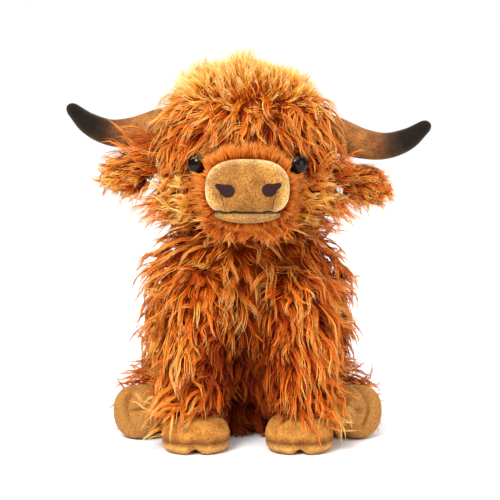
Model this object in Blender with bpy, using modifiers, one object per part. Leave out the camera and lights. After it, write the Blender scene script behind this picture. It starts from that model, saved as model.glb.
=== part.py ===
# A sitting plush Highland cow: sewn panels of long-pile fur over a stuffed core, plush horns and cloven hooves,
# plastic safety eyes, and a neck, legs, ears and tail that give at their seams. Front is -Y, up is +Z, the toy's
# own left is +X. The origin is on the flat of the seat, where the toy rests.
import math

import bmesh
import bpy
from mathutils import Matrix, Vector

mm = 0.001

# Cloth and clearances
seam_gap = 0.3 * mm  # between two sewn pieces
swing_gap = 0.9 * mm  # between a turning root and its socket
floor_cut = 0.5 * mm  # how deep a stuffed form is flattened where it rests
pile_thickness = 7 * mm  # backing cloth with the dense part of the pile
cutter_overrun = 60 * mm

# Torso
torso_height = 161 * mm
torso_half_width = 81 * mm
torso_half_depth = 74 * mm
seat_setback = 32 * mm  # middle of the seat behind the origin
neck_setforward = 8 * mm  # neck ahead of the origin
side_seam_setback = 6 * mm
seat_seam_height = 9 * mm

# Neck: a stuffed ball in the collar seam
neck_radius = 44 * mm
neck_rise = 4 * mm  # pivot above the torso's top

# Head
head_height = 122 * mm  # crown above the neck pivot
head_half_width = 66 * mm
head_half_depth = 57 * mm
head_setforward = 20 * mm  # middle of the head ahead of the neck pivot

# Muzzle
muzzle_rise = 36 * mm  # middle of the nose pad above the neck pivot
muzzle_reach = 116 * mm  # front of the pad ahead of the neck pivot
pad_half_width = 30 * mm
pad_half_height = 19.5 * mm
pad_depth = 17 * mm
lip_half_width = 23 * mm
lip_half_height = 3.2 * mm
lip_setback = 2 * mm
sleeve_overhang = 3.5 * mm  # sleeve stands this far outside the pad
sleeve_length = 56 * mm
nostril_half_width = 6.6 * mm
nostril_half_height = 5.2 * mm
nostril_spacing = 30 * mm
nostril_thickness = 0.8 * mm

# Safety eyes
eye_radius = 8 * mm
eye_dome = 6 * mm
eye_rim = 1.2 * mm
eye_rise = 50.5 * mm  # above the neck pivot
eye_azimuth_deg = 34
shank_radius = 2.2 * mm
shank_length = 14 * mm
washer_radius = 7 * mm
washer_thickness = 1.6 * mm

# Horns
horn_rise = 77 * mm  # root above the neck pivot
horn_span = 139 * mm  # tip out from the middle
horn_root_inset = 20 * mm
horn_sag = 11 * mm  # how far the horn dips below its root
horn_hook = 6 * mm  # tip above the root
horn_sweep = 12 * mm  # tip ahead of the root
horn_root_radius = 15 * mm
horn_tip_radius = 4.4 * mm
crown_roll_deg = 2.8  # horns and ears sit a little lower on the toy's left

# Ears
ear_rise = 43 * mm
ear_length = 46 * mm
ear_half_width = 16.5 * mm
ear_half_thickness = 5.5 * mm
ear_stem_radius = 7 * mm
ear_stem_gap = 0.4 * mm  # between the stem and its socket in the head
ear_standoff = 1.6 * mm  # hinge outside the widest part of the head
ear_setback = 0 * mm  # hinge behind the neck pivot
ear_droop_deg = 21
ear_lining_thickness = 1.8 * mm

# Forelegs
shoulder_height = 112 * mm
shoulder_spread = 36 * mm
shoulder_setforward = 50 * mm
foreleg_radius = 24.5 * mm
foreleg_slant = 30 * mm  # hoof ahead of the shoulder
fore_hoof_spread = 39 * mm
fore_hoof_half_width = 25 * mm
fore_hoof_half_depth = 26 * mm
fore_hoof_height = 31 * mm
cleft_depth = 15 * mm

# Hind legs
hip_spread = 50 * mm
hip_setback = 18 * mm
haunch_radius = 36 * mm
haunch_height = 53 * mm
hind_length = 76 * mm  # hip to sole
hind_splay_deg = 32
hind_leg_radius = 20.5 * mm
hind_hoof_half_width = 18.5 * mm
hind_hoof_height = 44 * mm
hind_hoof_depth = 30 * mm

# Tail
tail_root_height = 60 * mm
tail_radius = 6 * mm
tail_standoff = 14 * mm  # hanging part behind the rump
tuft_radius = 10 * mm
tuft_length = 34 * mm
tuft_floor_clearance = 4 * mm

# Pellet pouch
pouch_half_width = 20 * mm
pouch_half_depth = 34 * mm
pouch_height = 16 * mm

torso_sides = 10
limb_sides = 8
hoof_sides = 12

sides = {"left": 1, "right": -1}
neck_pivot = Vector((0, -neck_setforward, torso_height + neck_rise))

materials = {
    "long_pile_fur": ("#B4591A", 0.95),
    "short_pile_fur": ("#CF6E1F", 0.9),
    "tan_plush": ("#B98E52", 0.9),
    "horn_plush": ("#A5834E", 0.9),
    "nose_plush": ("#C79A5B", 0.9),
    "ear_lining": ("#7A3414", 0.9),
    "embroidery": ("#4A2326", 0.8),
    "eye_plastic": ("#24150E", 0.08),
    "washer_plastic": ("#E8E6E0", 0.4),
    "stuffing_fibre": ("#F2F0EA", 1.0),
    "pouch_cloth": ("#D8D2C4", 0.9),
}


def linear(hex_colour):
    # sRGB hex to linear: each channel over 255, then the sRGB curve
    channels = [int(hex_colour[i : i + 2], 16) / 255 for i in (1, 3, 5)]
    return [c / 12.92 if c <= 0.04045 else ((c + 0.055) / 1.055) ** 2.4 for c in channels]


def make_material(name):
    hex_colour, roughness = materials[name]
    material = bpy.data.materials.get(name) or bpy.data.materials.new(name)
    material.use_nodes = True
    shader = material.node_tree.nodes["Principled BSDF"]
    shader.inputs["Base Color"].default_value = (*linear(hex_colour), 1)
    shader.inputs["Roughness"].default_value = roughness
    shader.inputs["Metallic"].default_value = 0
    return material


def place(name, mesh, material=None):
    # an object with a material is a piece of the toy, one without is a cutter
    piece = bpy.data.objects.new(name, mesh)
    if material:
        mesh.materials.clear()
        mesh.materials.append(make_material(material))
        toy.objects.link(piece)
    else:
        piece.hide_render = True
        piece.display_type = "WIRE"
        cutters.objects.link(piece)
    return piece


def pole(centre):
    return (Vector(centre), None, None)


def ring(centre, across, along):
    return (Vector(centre), Vector(across), Vector(along))


def cage(name, stations, count, squareness=1.0, dent=None):
    # rings of a superellipse, centre + across cos^s + along sin^s, joined band by band and closed at two poles;
    # the rings are widened by 1/cos(pi/count), which is what one subdivision takes off
    hold = 1 / math.cos(math.pi / count)
    mesh = bpy.data.meshes.new(name)
    bm = bmesh.new()
    rows = []
    for centre, across, along in stations:
        if across is None:
            rows.append([bm.verts.new(centre)])
            continue
        row = []
        for k in range(count):
            angle = 2 * math.pi * k / count - math.pi / 2
            c, s = math.cos(angle), math.sin(angle)
            c = math.copysign(abs(c) ** squareness, c)
            s = math.copysign(abs(s) ** squareness, s)
            point = centre + hold * (c * across + s * along)
            if dent:
                point += dent(k, centre, across, along)
            row.append(bm.verts.new(point))
        rows.append(row)
    for low, high in zip(rows, rows[1:]):
        for k in range(count):
            corners = []
            for row, index in ((low, k), (low, k + 1), (high, k + 1), (high, k)):
                vert = row[index % len(row)]
                if vert not in corners:
                    corners.append(vert)
            bm.faces.new(corners)
    bmesh.ops.recalc_face_normals(bm, faces=bm.faces)
    bm.to_mesh(mesh)
    bm.free()
    mesh.shade_smooth()
    return mesh


def subdivide(piece, thickness=0.0, grow=0.0):
    # one subdivision, then a wall inwards or an even step in or out
    modifier = piece.modifiers.new("Subdivision", "SUBSURF")
    modifier.levels = modifier.render_levels = 1
    if thickness:
        modifier = piece.modifiers.new("Wall", "SOLIDIFY")
        modifier.thickness = thickness
        modifier.offset = -1
    if grow:
        modifier = piece.modifiers.new("Step", "DISPLACE")
        modifier.strength = grow
        modifier.mid_level = 0
    piece.modifiers.new("Triangles", "TRIANGULATE")
    return piece


def soft_form(name, stations, count, material, squareness=1.0, dent=None):
    return subdivide(place(name, cage(name, stations, count, squareness, dent), material))


def grown(piece, step):
    # a cutter with the piece's own shape, one step larger
    return subdivide(place(f"{piece.name}_clearance", piece.data.copy()), grow=step)


def boolean(piece, operation, other):
    modifier = piece.modifiers.new(f"{operation} {other.name}", "BOOLEAN")
    modifier.operation = operation
    modifier.object = other
    modifier.solver = "EXACT"


def cut(pieces, *others):
    for piece in pieces:
        for other in others:
            boolean(piece, "DIFFERENCE", other)


def keep(piece, other):
    boolean(piece, "INTERSECT", other)


def block(name, low, high):
    mesh = bpy.data.meshes.new(name)
    bm = bmesh.new()
    low, high = Vector(low), Vector(high)
    size = Matrix.Diagonal((*(high - low), 1))
    bmesh.ops.create_cube(bm, size=1, matrix=Matrix.Translation((low + high) / 2) @ size)
    bm.to_mesh(mesh)
    bm.free()
    return place(name, mesh)


def ball(name, centre, radii, segments, rings, material=None):
    mesh = bpy.data.meshes.new(name)
    bm = bmesh.new()
    size = Matrix.Diagonal((*radii, 1))
    matrix = Matrix.Translation(centre) @ size
    bmesh.ops.create_uvsphere(bm, u_segments=segments, v_segments=rings, radius=1, matrix=matrix)
    bm.to_mesh(mesh)
    bm.free()
    mesh.shade_smooth()
    return place(name, mesh, material)


def turned(name, profile, closed, matrix, material=None, steps=16):
    # the profile at +X is turned once round Z, then placed
    mesh = bpy.data.meshes.new(name)
    edges = [(i, i + 1) for i in range(len(profile) - 1)]
    if closed:
        edges.append((len(profile) - 1, 0))
    mesh.from_pydata([(x, 0, z) for x, z in profile], edges, [])
    piece = place(name, mesh, material)
    piece.matrix_world = matrix
    modifier = piece.modifiers.new("Turn", "SCREW")
    modifier.steps = modifier.render_steps = steps
    modifier.use_merge_vertices = True
    modifier.merge_threshold = 0.01 * mm
    modifier.use_smooth_shade = True
    piece.modifiers.new("Triangles", "TRIANGULATE")
    return piece


def section(stations, height):
    # centre, half-width and half-depth of a standing form at a height, straight between its rings
    rings = [s for s in stations if s[1] is not None]
    for (low, w0, d0), (high, w1, d1) in zip(rings, rings[1:]):
        if low.z <= height <= high.z:
            t = (height - low.z) / (high.z - low.z)
            return low.lerp(high, t), w0.lerp(w1, t).x, d0.lerp(d1, t).y
    low, w0, d0 = rings[-1] if height > rings[-1][0].z else rings[0]
    return low, w0.x, d0.y


def standing_stations(shares, base, height, half_width, half_depth, from_y, to_y):
    # rings that lie flat, each from shares of the form's height, lean, half-width and half-depth
    stations = []
    for rise, lean, width, depth in shares:
        centre = (0, from_y + lean * (to_y - from_y), base + rise * height)
        if width:
            stations.append(ring(centre, (width * half_width, 0, 0), (0, depth * half_depth, 0)))
        else:
            stations.append(pole(centre))
    return stations


def torso_stations():
    shares = (
        (0.035, 1.00, 0.80, 0.87),
        (0.15, 0.95, 0.93, 1.00),
        (0.35, 0.78, 1.00, 1.00),
        (0.62, 0.48, 0.98, 0.91),
        (0.86, 0.14, 0.92, 0.79),
        (0.985, 0.02, 0.66, 0.58),
        (1.00, 0.00, 0, 0),
    )
    upper = standing_stations(
        shares, 0, torso_height, torso_half_width, torso_half_depth, -neck_setforward, seat_setback
    )
    base = (0, seat_setback, -floor_cut)
    foot_share = 0.62
    foot = ring(base, (foot_share * torso_half_width, 0, 0), (0, foot_share * torso_half_depth, 0))
    return [pole(base), foot, *upper]


def head_stations():
    shares = (
        (0.048, 0.85, 0, 0),
        (0.055, 0.85, 0.70, 0.70),
        (0.15, 0.95, 1.00, 0.97),
        (0.36, 1.00, 1.05, 1.02),
        (0.62, 0.98, 0.99, 1.00),
        (0.84, 0.92, 0.80, 0.83),
        (0.98, 0.84, 0.42, 0.45),
        (1.01, 0.80, 0, 0),
    )
    middle = neck_pivot.y - head_setforward
    return standing_stations(
        shares, neck_pivot.z, head_height, head_half_width, head_half_depth, neck_pivot.y, middle
    )


def make_neck():
    neck = ball("neck", neck_pivot, (neck_radius,) * 3, 20, 12, "long_pile_fur")
    socket = ball("neck_socket", neck_pivot, (neck_radius + swing_gap,) * 3, 20, 14)
    return neck, socket


def fore_hoof_dent(k, centre, across, along):
    # the front middle of the hoof is drawn back, which parts the two toes
    low = centre.z < 0.75 * fore_hoof_height
    return Vector((0, cleft_depth, 0)) if low and k == 0 else Vector()


def make_foreleg(side):
    sign = sides[side]
    shoulder = Vector((sign * shoulder_spread, -shoulder_setforward, shoulder_height))
    ankle = Vector((sign * fore_hoof_spread, -shoulder_setforward - foreleg_slant, fore_hoof_height / 2))
    down = (ankle - shoulder).normalized()
    reach = (ankle - shoulder).length
    across = Vector((1, 0, 0)) - down.x * down
    across.normalize()
    along = down.cross(across)
    radius_shares = ((-0.80, 0.62), (0, 1.0))
    stations = [pole(shoulder - foreleg_radius * down)]
    for travel, width in radius_shares:
        centre = shoulder + travel * foreleg_radius * down
        stations.append(ring(centre, width * foreleg_radius * across, width * foreleg_radius * along))
    taper_shares = ((0.55, 0.96), (0.95, 0.88), (1.0, 0.5))
    for travel, width in taper_shares:
        centre = shoulder + travel * reach * down
        stations.append(ring(centre, width * foreleg_radius * across, width * foreleg_radius * along))
    stations.append(pole(shoulder + 1.01 * reach * down))
    leg = soft_form(f"foreleg_{side}", stations, limb_sides, "long_pile_fur")
    rings = (
        (0.0, 0.74, 0.76),
        (0.12, 0.94, 0.94),
        (0.46, 1.05, 1.05),
        (0.86, 0.76, 0.74),
    )
    foot = Vector((ankle.x, ankle.y, -floor_cut))
    stations = [pole(foot)]
    for rise, width, depth in rings:
        centre = foot + Vector((0, 0, rise * fore_hoof_height))
        across, along = (width * fore_hoof_half_width, 0, 0), (0, depth * fore_hoof_half_depth, 0)
        stations.append(ring(centre, across, along))
    stations.append(pole(foot + Vector((0, 0, fore_hoof_height))))
    name = f"fore_hoof_{side}"
    hoof = soft_form(name, stations, hoof_sides, "tan_plush", squareness=0.85, dent=fore_hoof_dent)
    cut([leg], grown(hoof, seam_gap))
    cut([hoof], floor)
    socket_radius = foreleg_radius + swing_gap
    socket = ball(f"shoulder_socket_{side}", shoulder, (socket_radius,) * 3, 16, 10)
    return [socket, grown(leg, 2 * seam_gap)]


def make_hindleg(side):
    sign = sides[side]
    splay = math.radians(hind_splay_deg)
    out = Vector((sign * math.sin(splay), -math.cos(splay), 0))
    across = Vector((math.cos(splay), sign * math.sin(splay), 0))
    up = Vector((0, 0, 1))
    half_height = haunch_height / 2
    hip = Vector((sign * hip_spread, hip_setback, half_height + floor_cut))
    stations = [pole(hip - haunch_radius * out)]
    for turn_deg in (-58, -22, 16):
        turn = math.radians(turn_deg)
        centre = hip + math.sin(turn) * haunch_radius * out
        width, height = math.cos(turn) * haunch_radius, math.cos(turn) * half_height
        stations.append(ring(centre, width * across, height * up))
    sole_travel = hind_length
    heel_travel = hind_length - hind_hoof_depth
    drop = hip.z - hind_leg_radius - floor_cut
    for travel_share, width_share in ((0.70, 1.02), (1.10, 0.80), (1.18, 0.45)):
        travel = travel_share * heel_travel
        centre = hip + travel * out - drop * up
        width = width_share * hind_leg_radius
        stations.append(ring(centre, width * across, width * up))
    stations.append(pole(hip + 1.2 * heel_travel * out - drop * up))
    leg = soft_form(f"hindleg_{side}", stations, limb_sides, "long_pile_fur")

    half_hoof = hind_hoof_height / 2
    middle = Vector((hip.x, hip.y, half_hoof - floor_cut))
    rings = ((0.06, 0.60), (0.30, 0.90), (0.80, 1.03), (0.97, 0.78))
    stations = [pole(middle + heel_travel * out)]
    for travel, width in rings:
        centre = middle + (heel_travel + travel * hind_hoof_depth) * out
        stations.append(ring(centre, width * hind_hoof_half_width * across, width * half_hoof * up))
    stations.append(pole(middle + sole_travel * out))

    def dent(k, centre, across, along):
        # the top middle of the hoof is drawn down between the two toes
        past_ankle = (centre - middle).dot(out) > heel_travel + 0.3 * hind_hoof_depth
        return Vector((0, 0, -cleft_depth)) if past_ankle and k == hoof_sides // 2 else Vector()

    name = f"hind_hoof_{side}"
    hoof = soft_form(name, stations, hoof_sides, "tan_plush", squareness=0.88, dent=dent)
    cut([leg], grown(hoof, seam_gap), floor)
    cut([hoof], floor)
    radii = (haunch_radius + swing_gap, haunch_radius + swing_gap, half_height + swing_gap)
    socket = ball(f"hip_socket_{side}", hip, radii, 16, 10)
    return [socket, grown(leg, 2 * seam_gap)]


def make_tail(rump):
    root = Vector((0, rump - tail_radius / 2, tail_root_height))
    hang = rump + tail_standoff
    tuft_top = tuft_floor_clearance + tuft_length
    path_shares = ((0.0, 0.0), (0.55, 0.10), (1.0, 0.45), (1.0, 0.95))
    stations = [pole(root - Vector((0, tail_radius, 0)))]
    down = Vector((0, 0, -1))
    back = Vector((0, 1, 0))
    wide = Vector((tail_radius, 0, 0))
    centres = []
    for travel, fall in path_shares:
        y = root.y + travel * (hang - root.y)
        z = tail_root_height + fall * (tuft_top - tail_root_height)
        centres.append(Vector((0, y, z)))
    for index, centre in enumerate(centres):
        nearby = centres[min(index + 1, len(centres) - 1)] - centres[max(index - 1, 0)]
        direction = nearby.normalized()
        stations.append(ring(centre, wide, tail_radius * direction.cross(Vector((1, 0, 0)))))
    stations.append(pole((0, hang, tuft_top)))
    tail = soft_form("tail", stations, limb_sides, "long_pile_fur")
    top = Vector((0, hang, tuft_top))
    stations = [pole(top)]
    for travel, width in ((0.06, 0.62), (0.35, 1.0), (0.70, 0.80), (0.93, 0.35)):
        centre = top + travel * tuft_length * down
        stations.append(ring(centre, width * tuft_radius * Vector((1, 0, 0)), width * tuft_radius * back))
    stations.append(pole(top + tuft_length * down))
    tuft = soft_form("tail_tuft", stations, limb_sides, "long_pile_fur")
    cut([tail], grown(tuft, seam_gap))
    return [ball("tail_socket", root, (tail_radius + swing_gap,) * 3, 16, 10), grown(tail, 2 * seam_gap)]


def make_torso(neck_socket, sockets):
    stations = torso_stations()
    shape = cage("torso", stations, torso_sides)
    half_gap = seam_gap / 2
    reach = torso_half_width + torso_half_depth + cutter_overrun
    front, back = -reach, reach
    low, high = -cutter_overrun, torso_height + cutter_overrun
    seam = side_seam_setback
    shelf = seat_seam_height
    regions = {
        "seat_panel": ((-reach, front, low), (reach, back, shelf - half_gap)),
        "chest_panel": ((-reach, front, shelf + half_gap), (reach, seam - half_gap, high)),
        "back_panel_left": ((half_gap, seam + half_gap, shelf + half_gap), (reach, back, high)),
        "back_panel_right": ((-reach, seam + half_gap, shelf + half_gap), (-half_gap, back, high)),
    }
    panels = []
    for name, (corner, opposite) in regions.items():
        panel = subdivide(place(name, shape.copy(), "long_pile_fur"), thickness=pile_thickness)
        keep(panel, block(f"{name}_region", corner, opposite))
        panels.append(panel)
    stuffing = place("torso_stuffing", shape.copy(), "stuffing_fibre")
    subdivide(stuffing, grow=-(pile_thickness + seam_gap))
    base = Vector((0, seat_setback, pile_thickness + 2 * seam_gap))
    pouch_rings = ((0.10, 0.80), (0.45, 1.0), (0.75, 0.86), (0.95, 0.5))
    pouch_stations = [pole(base)]
    for rise, width in pouch_rings:
        centre = base + Vector((0, 0, rise * pouch_height))
        across, along = (width * pouch_half_width, 0, 0), (0, width * pouch_half_depth, 0)
        pouch_stations.append(ring(centre, across, along))
    pouch_stations.append(pole(base + Vector((0, 0, pouch_height))))
    pouch = soft_form("pellet_pouch", pouch_stations, limb_sides, "pouch_cloth")
    cut([stuffing], grown(pouch, seam_gap))
    cut([*panels, stuffing], neck_socket, *sockets)
    cut([panels[0]], floor)
    return pouch


def eye_frame(side, stations):
    # outward frame on the head where the eye's back plate lies
    sign = sides[side]
    azimuth = math.radians(eye_azimuth_deg)
    height = neck_pivot.z + eye_rise
    centre, half_width, half_depth = section(stations, height)
    spot = Vector((sign * half_width * math.sin(azimuth), -half_depth * math.cos(azimuth), 0))
    normal = Vector((sign * math.sin(azimuth) / half_width, -math.cos(azimuth) / half_depth, 0))
    turn = normal.to_track_quat("Z", "Y").to_matrix().to_4x4()
    return Matrix.Translation(Vector((0, centre.y, height)) + spot) @ turn


def eye_profile(grow):
    # quarter ellipse over the dome, its rim, then the shank
    points = []
    for degrees in (90, 68, 46, 23, 0):
        turn = math.radians(degrees)
        points.append(((eye_radius + grow) * math.cos(turn), (eye_dome + grow) * math.sin(turn)))
    points[0] = (0, eye_dome + grow)
    under = -eye_rim - grow
    tip = -shank_length - grow
    stem = shank_radius + grow
    return [*points, (eye_radius + grow, under), (stem, under), (stem, tip), (0, tip)]


def make_eye(side, frame):
    turned(f"eye_{side}", eye_profile(0), False, frame, "eye_plastic")
    top = -(pile_thickness + eye_rim)
    low = top - washer_thickness
    inner = shank_radius + seam_gap
    washer_ring = [(washer_radius, top), (washer_radius, low), (inner, low), (inner, top)]
    turned(f"eye_washer_{side}", washer_ring, True, frame, "washer_plastic")
    eye_room = turned(f"eye_clearance_{side}", eye_profile(seam_gap), False, frame)
    wide, above, below = washer_radius + seam_gap, top + seam_gap, low - seam_gap
    disc = [(0, above), (wide, above), (wide, below), (0, below)]
    washer_room = turned(f"washer_clearance_{side}", disc, False, frame)
    return [eye_room, washer_room]


def roll_matrix():
    # a small turn of the horns and ears about the middle of the head
    middle = Vector((0, 0, neck_pivot.z + head_height / 2))
    roll = Matrix.Rotation(math.radians(crown_roll_deg), 4, "Y")
    return Matrix.Translation(middle) @ roll @ Matrix.Translation(-middle)


def make_horn(side, head_clearance):
    sign = sides[side]
    root_x = head_half_width - horn_root_inset
    run = horn_span - root_x
    # share of the run out, of the sag or hook, of the sweep, and of the step from root to tip radius
    path_shares = (
        (0.0, 0.00, 0.00, 0.0),
        (0.24, -0.45, 0.05, 0.10),
        (0.46, -0.92, 0.18, 0.30),
        (0.66, -0.96, 0.38, 0.50),
        (0.84, -0.32, 0.66, 0.74),
        (0.97, 0.85, 0.96, 1.0),
    )
    centres, radii = [], []
    for out, dip, sweep, taper in path_shares:
        rise = dip * (horn_sag if dip < 0 else horn_hook)
        x = sign * (root_x + out * run)
        centres.append(Vector((x, neck_pivot.y - sweep * horn_sweep, neck_pivot.z + horn_rise + rise)))
        radii.append(horn_root_radius + taper * (horn_tip_radius - horn_root_radius))
    roll = roll_matrix()
    centres = [roll @ c for c in centres]
    stations = []
    for index, (centre, radius) in enumerate(zip(centres, radii)):
        nearby = centres[min(index + 1, len(centres) - 1)] - centres[max(index - 1, 0)]
        direction = nearby.normalized()
        along = direction.cross(Vector((0, 1, 0))).normalized()
        across = along.cross(direction)
        if index == 0:
            stations.append(pole(centre - radius / 2 * direction))
        stations.append(ring(centre, radius * across, radius * along))
    tip = centres[-1] + 1.3 * horn_tip_radius * direction
    stations.append(ring(centres[-1].lerp(tip, 0.6), 0.72 * radius * across, 0.72 * radius * along))
    stations.append(pole(tip))
    horn = soft_form(f"horn_{side}", stations, limb_sides, "horn_plush")
    cut([horn], head_clearance)


def make_ear(side, head_pieces):
    sign = sides[side]
    droop = math.radians(ear_droop_deg)
    height = neck_pivot.z + ear_rise
    hinge = roll_matrix() @ Vector((sign * (head_half_width + ear_standoff), neck_pivot.y + ear_setback, height))
    # the roll lifts one ear and lowers the other; the leaf follows it
    roll = Matrix.Rotation(math.radians(crown_roll_deg), 3, "Y")
    out = roll @ Vector((sign * math.cos(droop), 0, -math.sin(droop)))
    across = Vector((0, 1, 0)).cross(out)
    thick = Vector((0, 1, 0))
    # share of the length, of the half-width and of the half-thickness
    leaf_shares = (
        (0.24, 0.34, 0.90),
        (0.40, 0.95, 1.0),
        (0.60, 1.02, 1.0),
        (0.80, 0.66, 0.8),
        (0.94, 0.24, 0.5),
    )
    stem = ear_stem_radius
    leaf = [pole(hinge - stem * out), ring(hinge - 0.7 * stem * out, 0.72 * stem * across, 0.72 * stem * thick)]
    leaf.append(ring(hinge, stem * across, stem * thick))
    for travel, width, depth in leaf_shares:
        centre = hinge + travel * ear_length * out
        leaf.append(ring(centre, width * ear_half_width * across, depth * ear_half_thickness * thick))
    leaf.append(pole(hinge + ear_length * out))
    ear = soft_form(f"ear_{side}", leaf, limb_sides, "long_pile_fur")
    # the lining follows the leaf a step inside its edge and lies on its front face
    inner = []
    for travel, width, depth in leaf_shares[1:4]:
        centre = hinge + travel * ear_length * out - depth * ear_half_thickness * thick / 2
        across_step = 0.72 * width * ear_half_width * across
        inner.append(ring(centre, across_step, (depth * ear_half_thickness / 2 + ear_lining_thickness) * thick))
    start = hinge + 0.30 * ear_length * out - ear_half_thickness * thick / 2
    end = hinge + 0.88 * ear_length * out - ear_half_thickness * thick / 2
    lining = soft_form(f"ear_lining_{side}", [pole(start), *inner, pole(end)], limb_sides, "ear_lining")
    cut([lining], grown(ear, seam_gap))
    socket = ball(f"ear_socket_{side}", hinge, (stem + ear_stem_gap,) * 3, 16, 10)
    cut(head_pieces, socket, grown(ear, ear_stem_gap))


def forward_stations(shares, middle, front, depth, half_width, half_height):
    # rings that stand upright, each from shares of the depth behind the front and of the half sizes
    stations = []
    for travel, size in shares:
        centre = (0, front + travel * depth, middle)
        if size:
            stations.append(ring(centre, (size * half_width, 0, 0), (0, 0, size * half_height)))
        else:
            stations.append(pole(centre))
    return stations


def nostril(side, pad):
    # a teardrop patch of thread: a round end low and inside, a point high and outside, laid on the pad
    sign = sides[side]
    middle = Vector((sign * nostril_spacing / 2, neck_pivot.y - muzzle_reach, neck_pivot.z + muzzle_rise))
    outline = []
    for k in range(14):
        turn = 2 * math.pi * k / 14
        reach = 1 + 0.42 * max(0.0, math.cos(turn - math.radians(38))) ** 4
        x = sign * nostril_half_width * 0.86 * reach * math.cos(turn)
        outline.append(Vector((x, nostril_half_height * 0.86 * reach * math.sin(turn), 0)))
    curve = bpy.data.curves.new(f"nostril_{side}", "CURVE")
    curve.dimensions = "2D"
    curve.fill_mode = "BOTH"
    curve.extrude = pad_depth / 2
    spline = curve.splines.new("POLY")
    spline.points.add(len(outline) - 1)
    for point, corner in zip(spline.points, outline):
        point.co = (*corner, 1)
    spline.use_cyclic_u = True
    shape = bpy.data.objects.new("outline", curve)
    shape.matrix_world = Matrix.Translation(middle) @ Matrix.Rotation(math.radians(90), 4, "X")
    toy.objects.link(shape)
    bpy.context.view_layer.update()
    mesh = bpy.data.meshes.new_from_object(shape.evaluated_get(bpy.context.evaluated_depsgraph_get()))
    bm = bmesh.new()
    bm.from_mesh(mesh)
    bmesh.ops.remove_doubles(bm, verts=bm.verts, dist=0.01 * mm)
    bmesh.ops.recalc_face_normals(bm, faces=bm.faces)
    bm.to_mesh(mesh)
    bm.free()
    patch = place(f"nostril_{side}", mesh, "embroidery")
    patch.matrix_world = shape.matrix_world
    bpy.data.objects.remove(shape)
    keep(patch, grown(pad, seam_gap + nostril_thickness))
    cut([patch], bpy.data.objects["nose_pad_clearance"])


def make_muzzle(head_clearance, eye_rooms):
    front = neck_pivot.y - muzzle_reach
    middle = neck_pivot.z + muzzle_rise
    pad_shares = ((0.0, 0), (0.04, 0.62), (0.22, 0.95), (0.62, 1.02), (0.96, 0.78), (1.0, 0))
    pad_stations = forward_stations(pad_shares, middle, front, pad_depth, pad_half_width, pad_half_height)
    pad = soft_form("nose_pad", pad_stations, hoof_sides, "nose_plush", squareness=0.8)
    lip_middle = middle - pad_half_height - lip_half_height - seam_gap
    lip_depth = pad_depth - lip_setback
    lip_shares = ((0.0, 0), (0.05, 0.6), (0.3, 1.0), (0.8, 1.0), (1.0, 0))
    lip_front = front + lip_setback
    lip_stations = forward_stations(lip_shares, lip_middle, lip_front, lip_depth, lip_half_width, lip_half_height)
    lip = soft_form("lower_lip", lip_stations, limb_sides, "nose_plush", squareness=0.8)
    pad_room = grown(pad, seam_gap)
    cut([lip], pad_room)
    lip_reach = 2 * lip_half_height + seam_gap
    sleeve_half_height = pad_half_height + lip_reach / 2 + sleeve_overhang
    sleeve_half_width = pad_half_width + sleeve_overhang
    sleeve_front = front + pad_depth / 2
    shares = ((0.0, 0), (0.02, 0.80), (0.14, 0.98), (0.6, 1.06), (0.98, 1.02), (1.0, 0))
    sleeve_middle = middle - lip_reach / 2
    sleeve_stations = forward_stations(
        shares, sleeve_middle, sleeve_front, sleeve_length, sleeve_half_width, sleeve_half_height
    )
    sleeve = soft_form("muzzle_sleeve", sleeve_stations, hoof_sides, "short_pile_fur", squareness=0.88)
    cut([sleeve], pad_room, grown(lip, seam_gap), head_clearance, *eye_rooms)
    for side in sides:
        nostril(side, pad)


def make_head(neck_socket):
    stations = head_stations()
    shape = cage("head", stations, torso_sides)
    half_gap = seam_gap / 2
    gusset = head_half_width / 3
    reach = head_half_width + head_half_depth + muzzle_reach
    low, high = neck_pivot.z - cutter_overrun, neck_pivot.z + head_height + cutter_overrun
    regions = {
        "head_gusset": ((-gusset + half_gap, -reach, low), (gusset - half_gap, reach, high)),
        "head_side_left": ((gusset + half_gap, -reach, low), (reach, reach, high)),
        "head_side_right": ((-reach, -reach, low), (-gusset - half_gap, reach, high)),
    }
    panels = []
    for name, (corner, opposite) in regions.items():
        panel = subdivide(place(name, shape.copy(), "long_pile_fur"), thickness=pile_thickness)
        keep(panel, block(f"{name}_region", corner, opposite))
        panels.append(panel)
    stuffing = place("head_stuffing", shape.copy(), "stuffing_fibre")
    subdivide(stuffing, grow=-(pile_thickness + seam_gap))
    head_clearance = subdivide(place("head_clearance", shape.copy()), grow=seam_gap)
    eye_rooms = []
    for side in sides:
        rooms = make_eye(side, eye_frame(side, stations))
        eye_rooms.append(rooms[0])
        cut([*panels[1:], stuffing], *rooms)
        make_horn(side, head_clearance)
        make_ear(side, [*panels[1:], stuffing])
    make_muzzle(head_clearance, eye_rooms)
    cut([*panels, stuffing], neck_socket)


for old in list(bpy.data.objects):
    bpy.data.objects.remove(old)
toy = bpy.data.collections.new("plush_highland_cow")
cutters = bpy.data.collections.new("cutters")
bpy.context.scene.collection.children.link(toy)
bpy.context.scene.collection.children.link(cutters)
room = cutter_overrun + torso_half_width + torso_half_depth + horn_span
floor = block("floor_cutter", (-room, -room, -room), (room, room, 0))
neck, neck_socket = make_neck()
limb_sockets = []
for side in sides:
    limb_sockets += make_foreleg(side)
    limb_sockets += make_hindleg(side)
rump_centre, _, rump_depth = section(torso_stations(), tail_root_height)
limb_sockets += make_tail(rump_centre.y + rump_depth)
make_torso(neck_socket, limb_sockets)
make_head(neck_socket)
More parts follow.
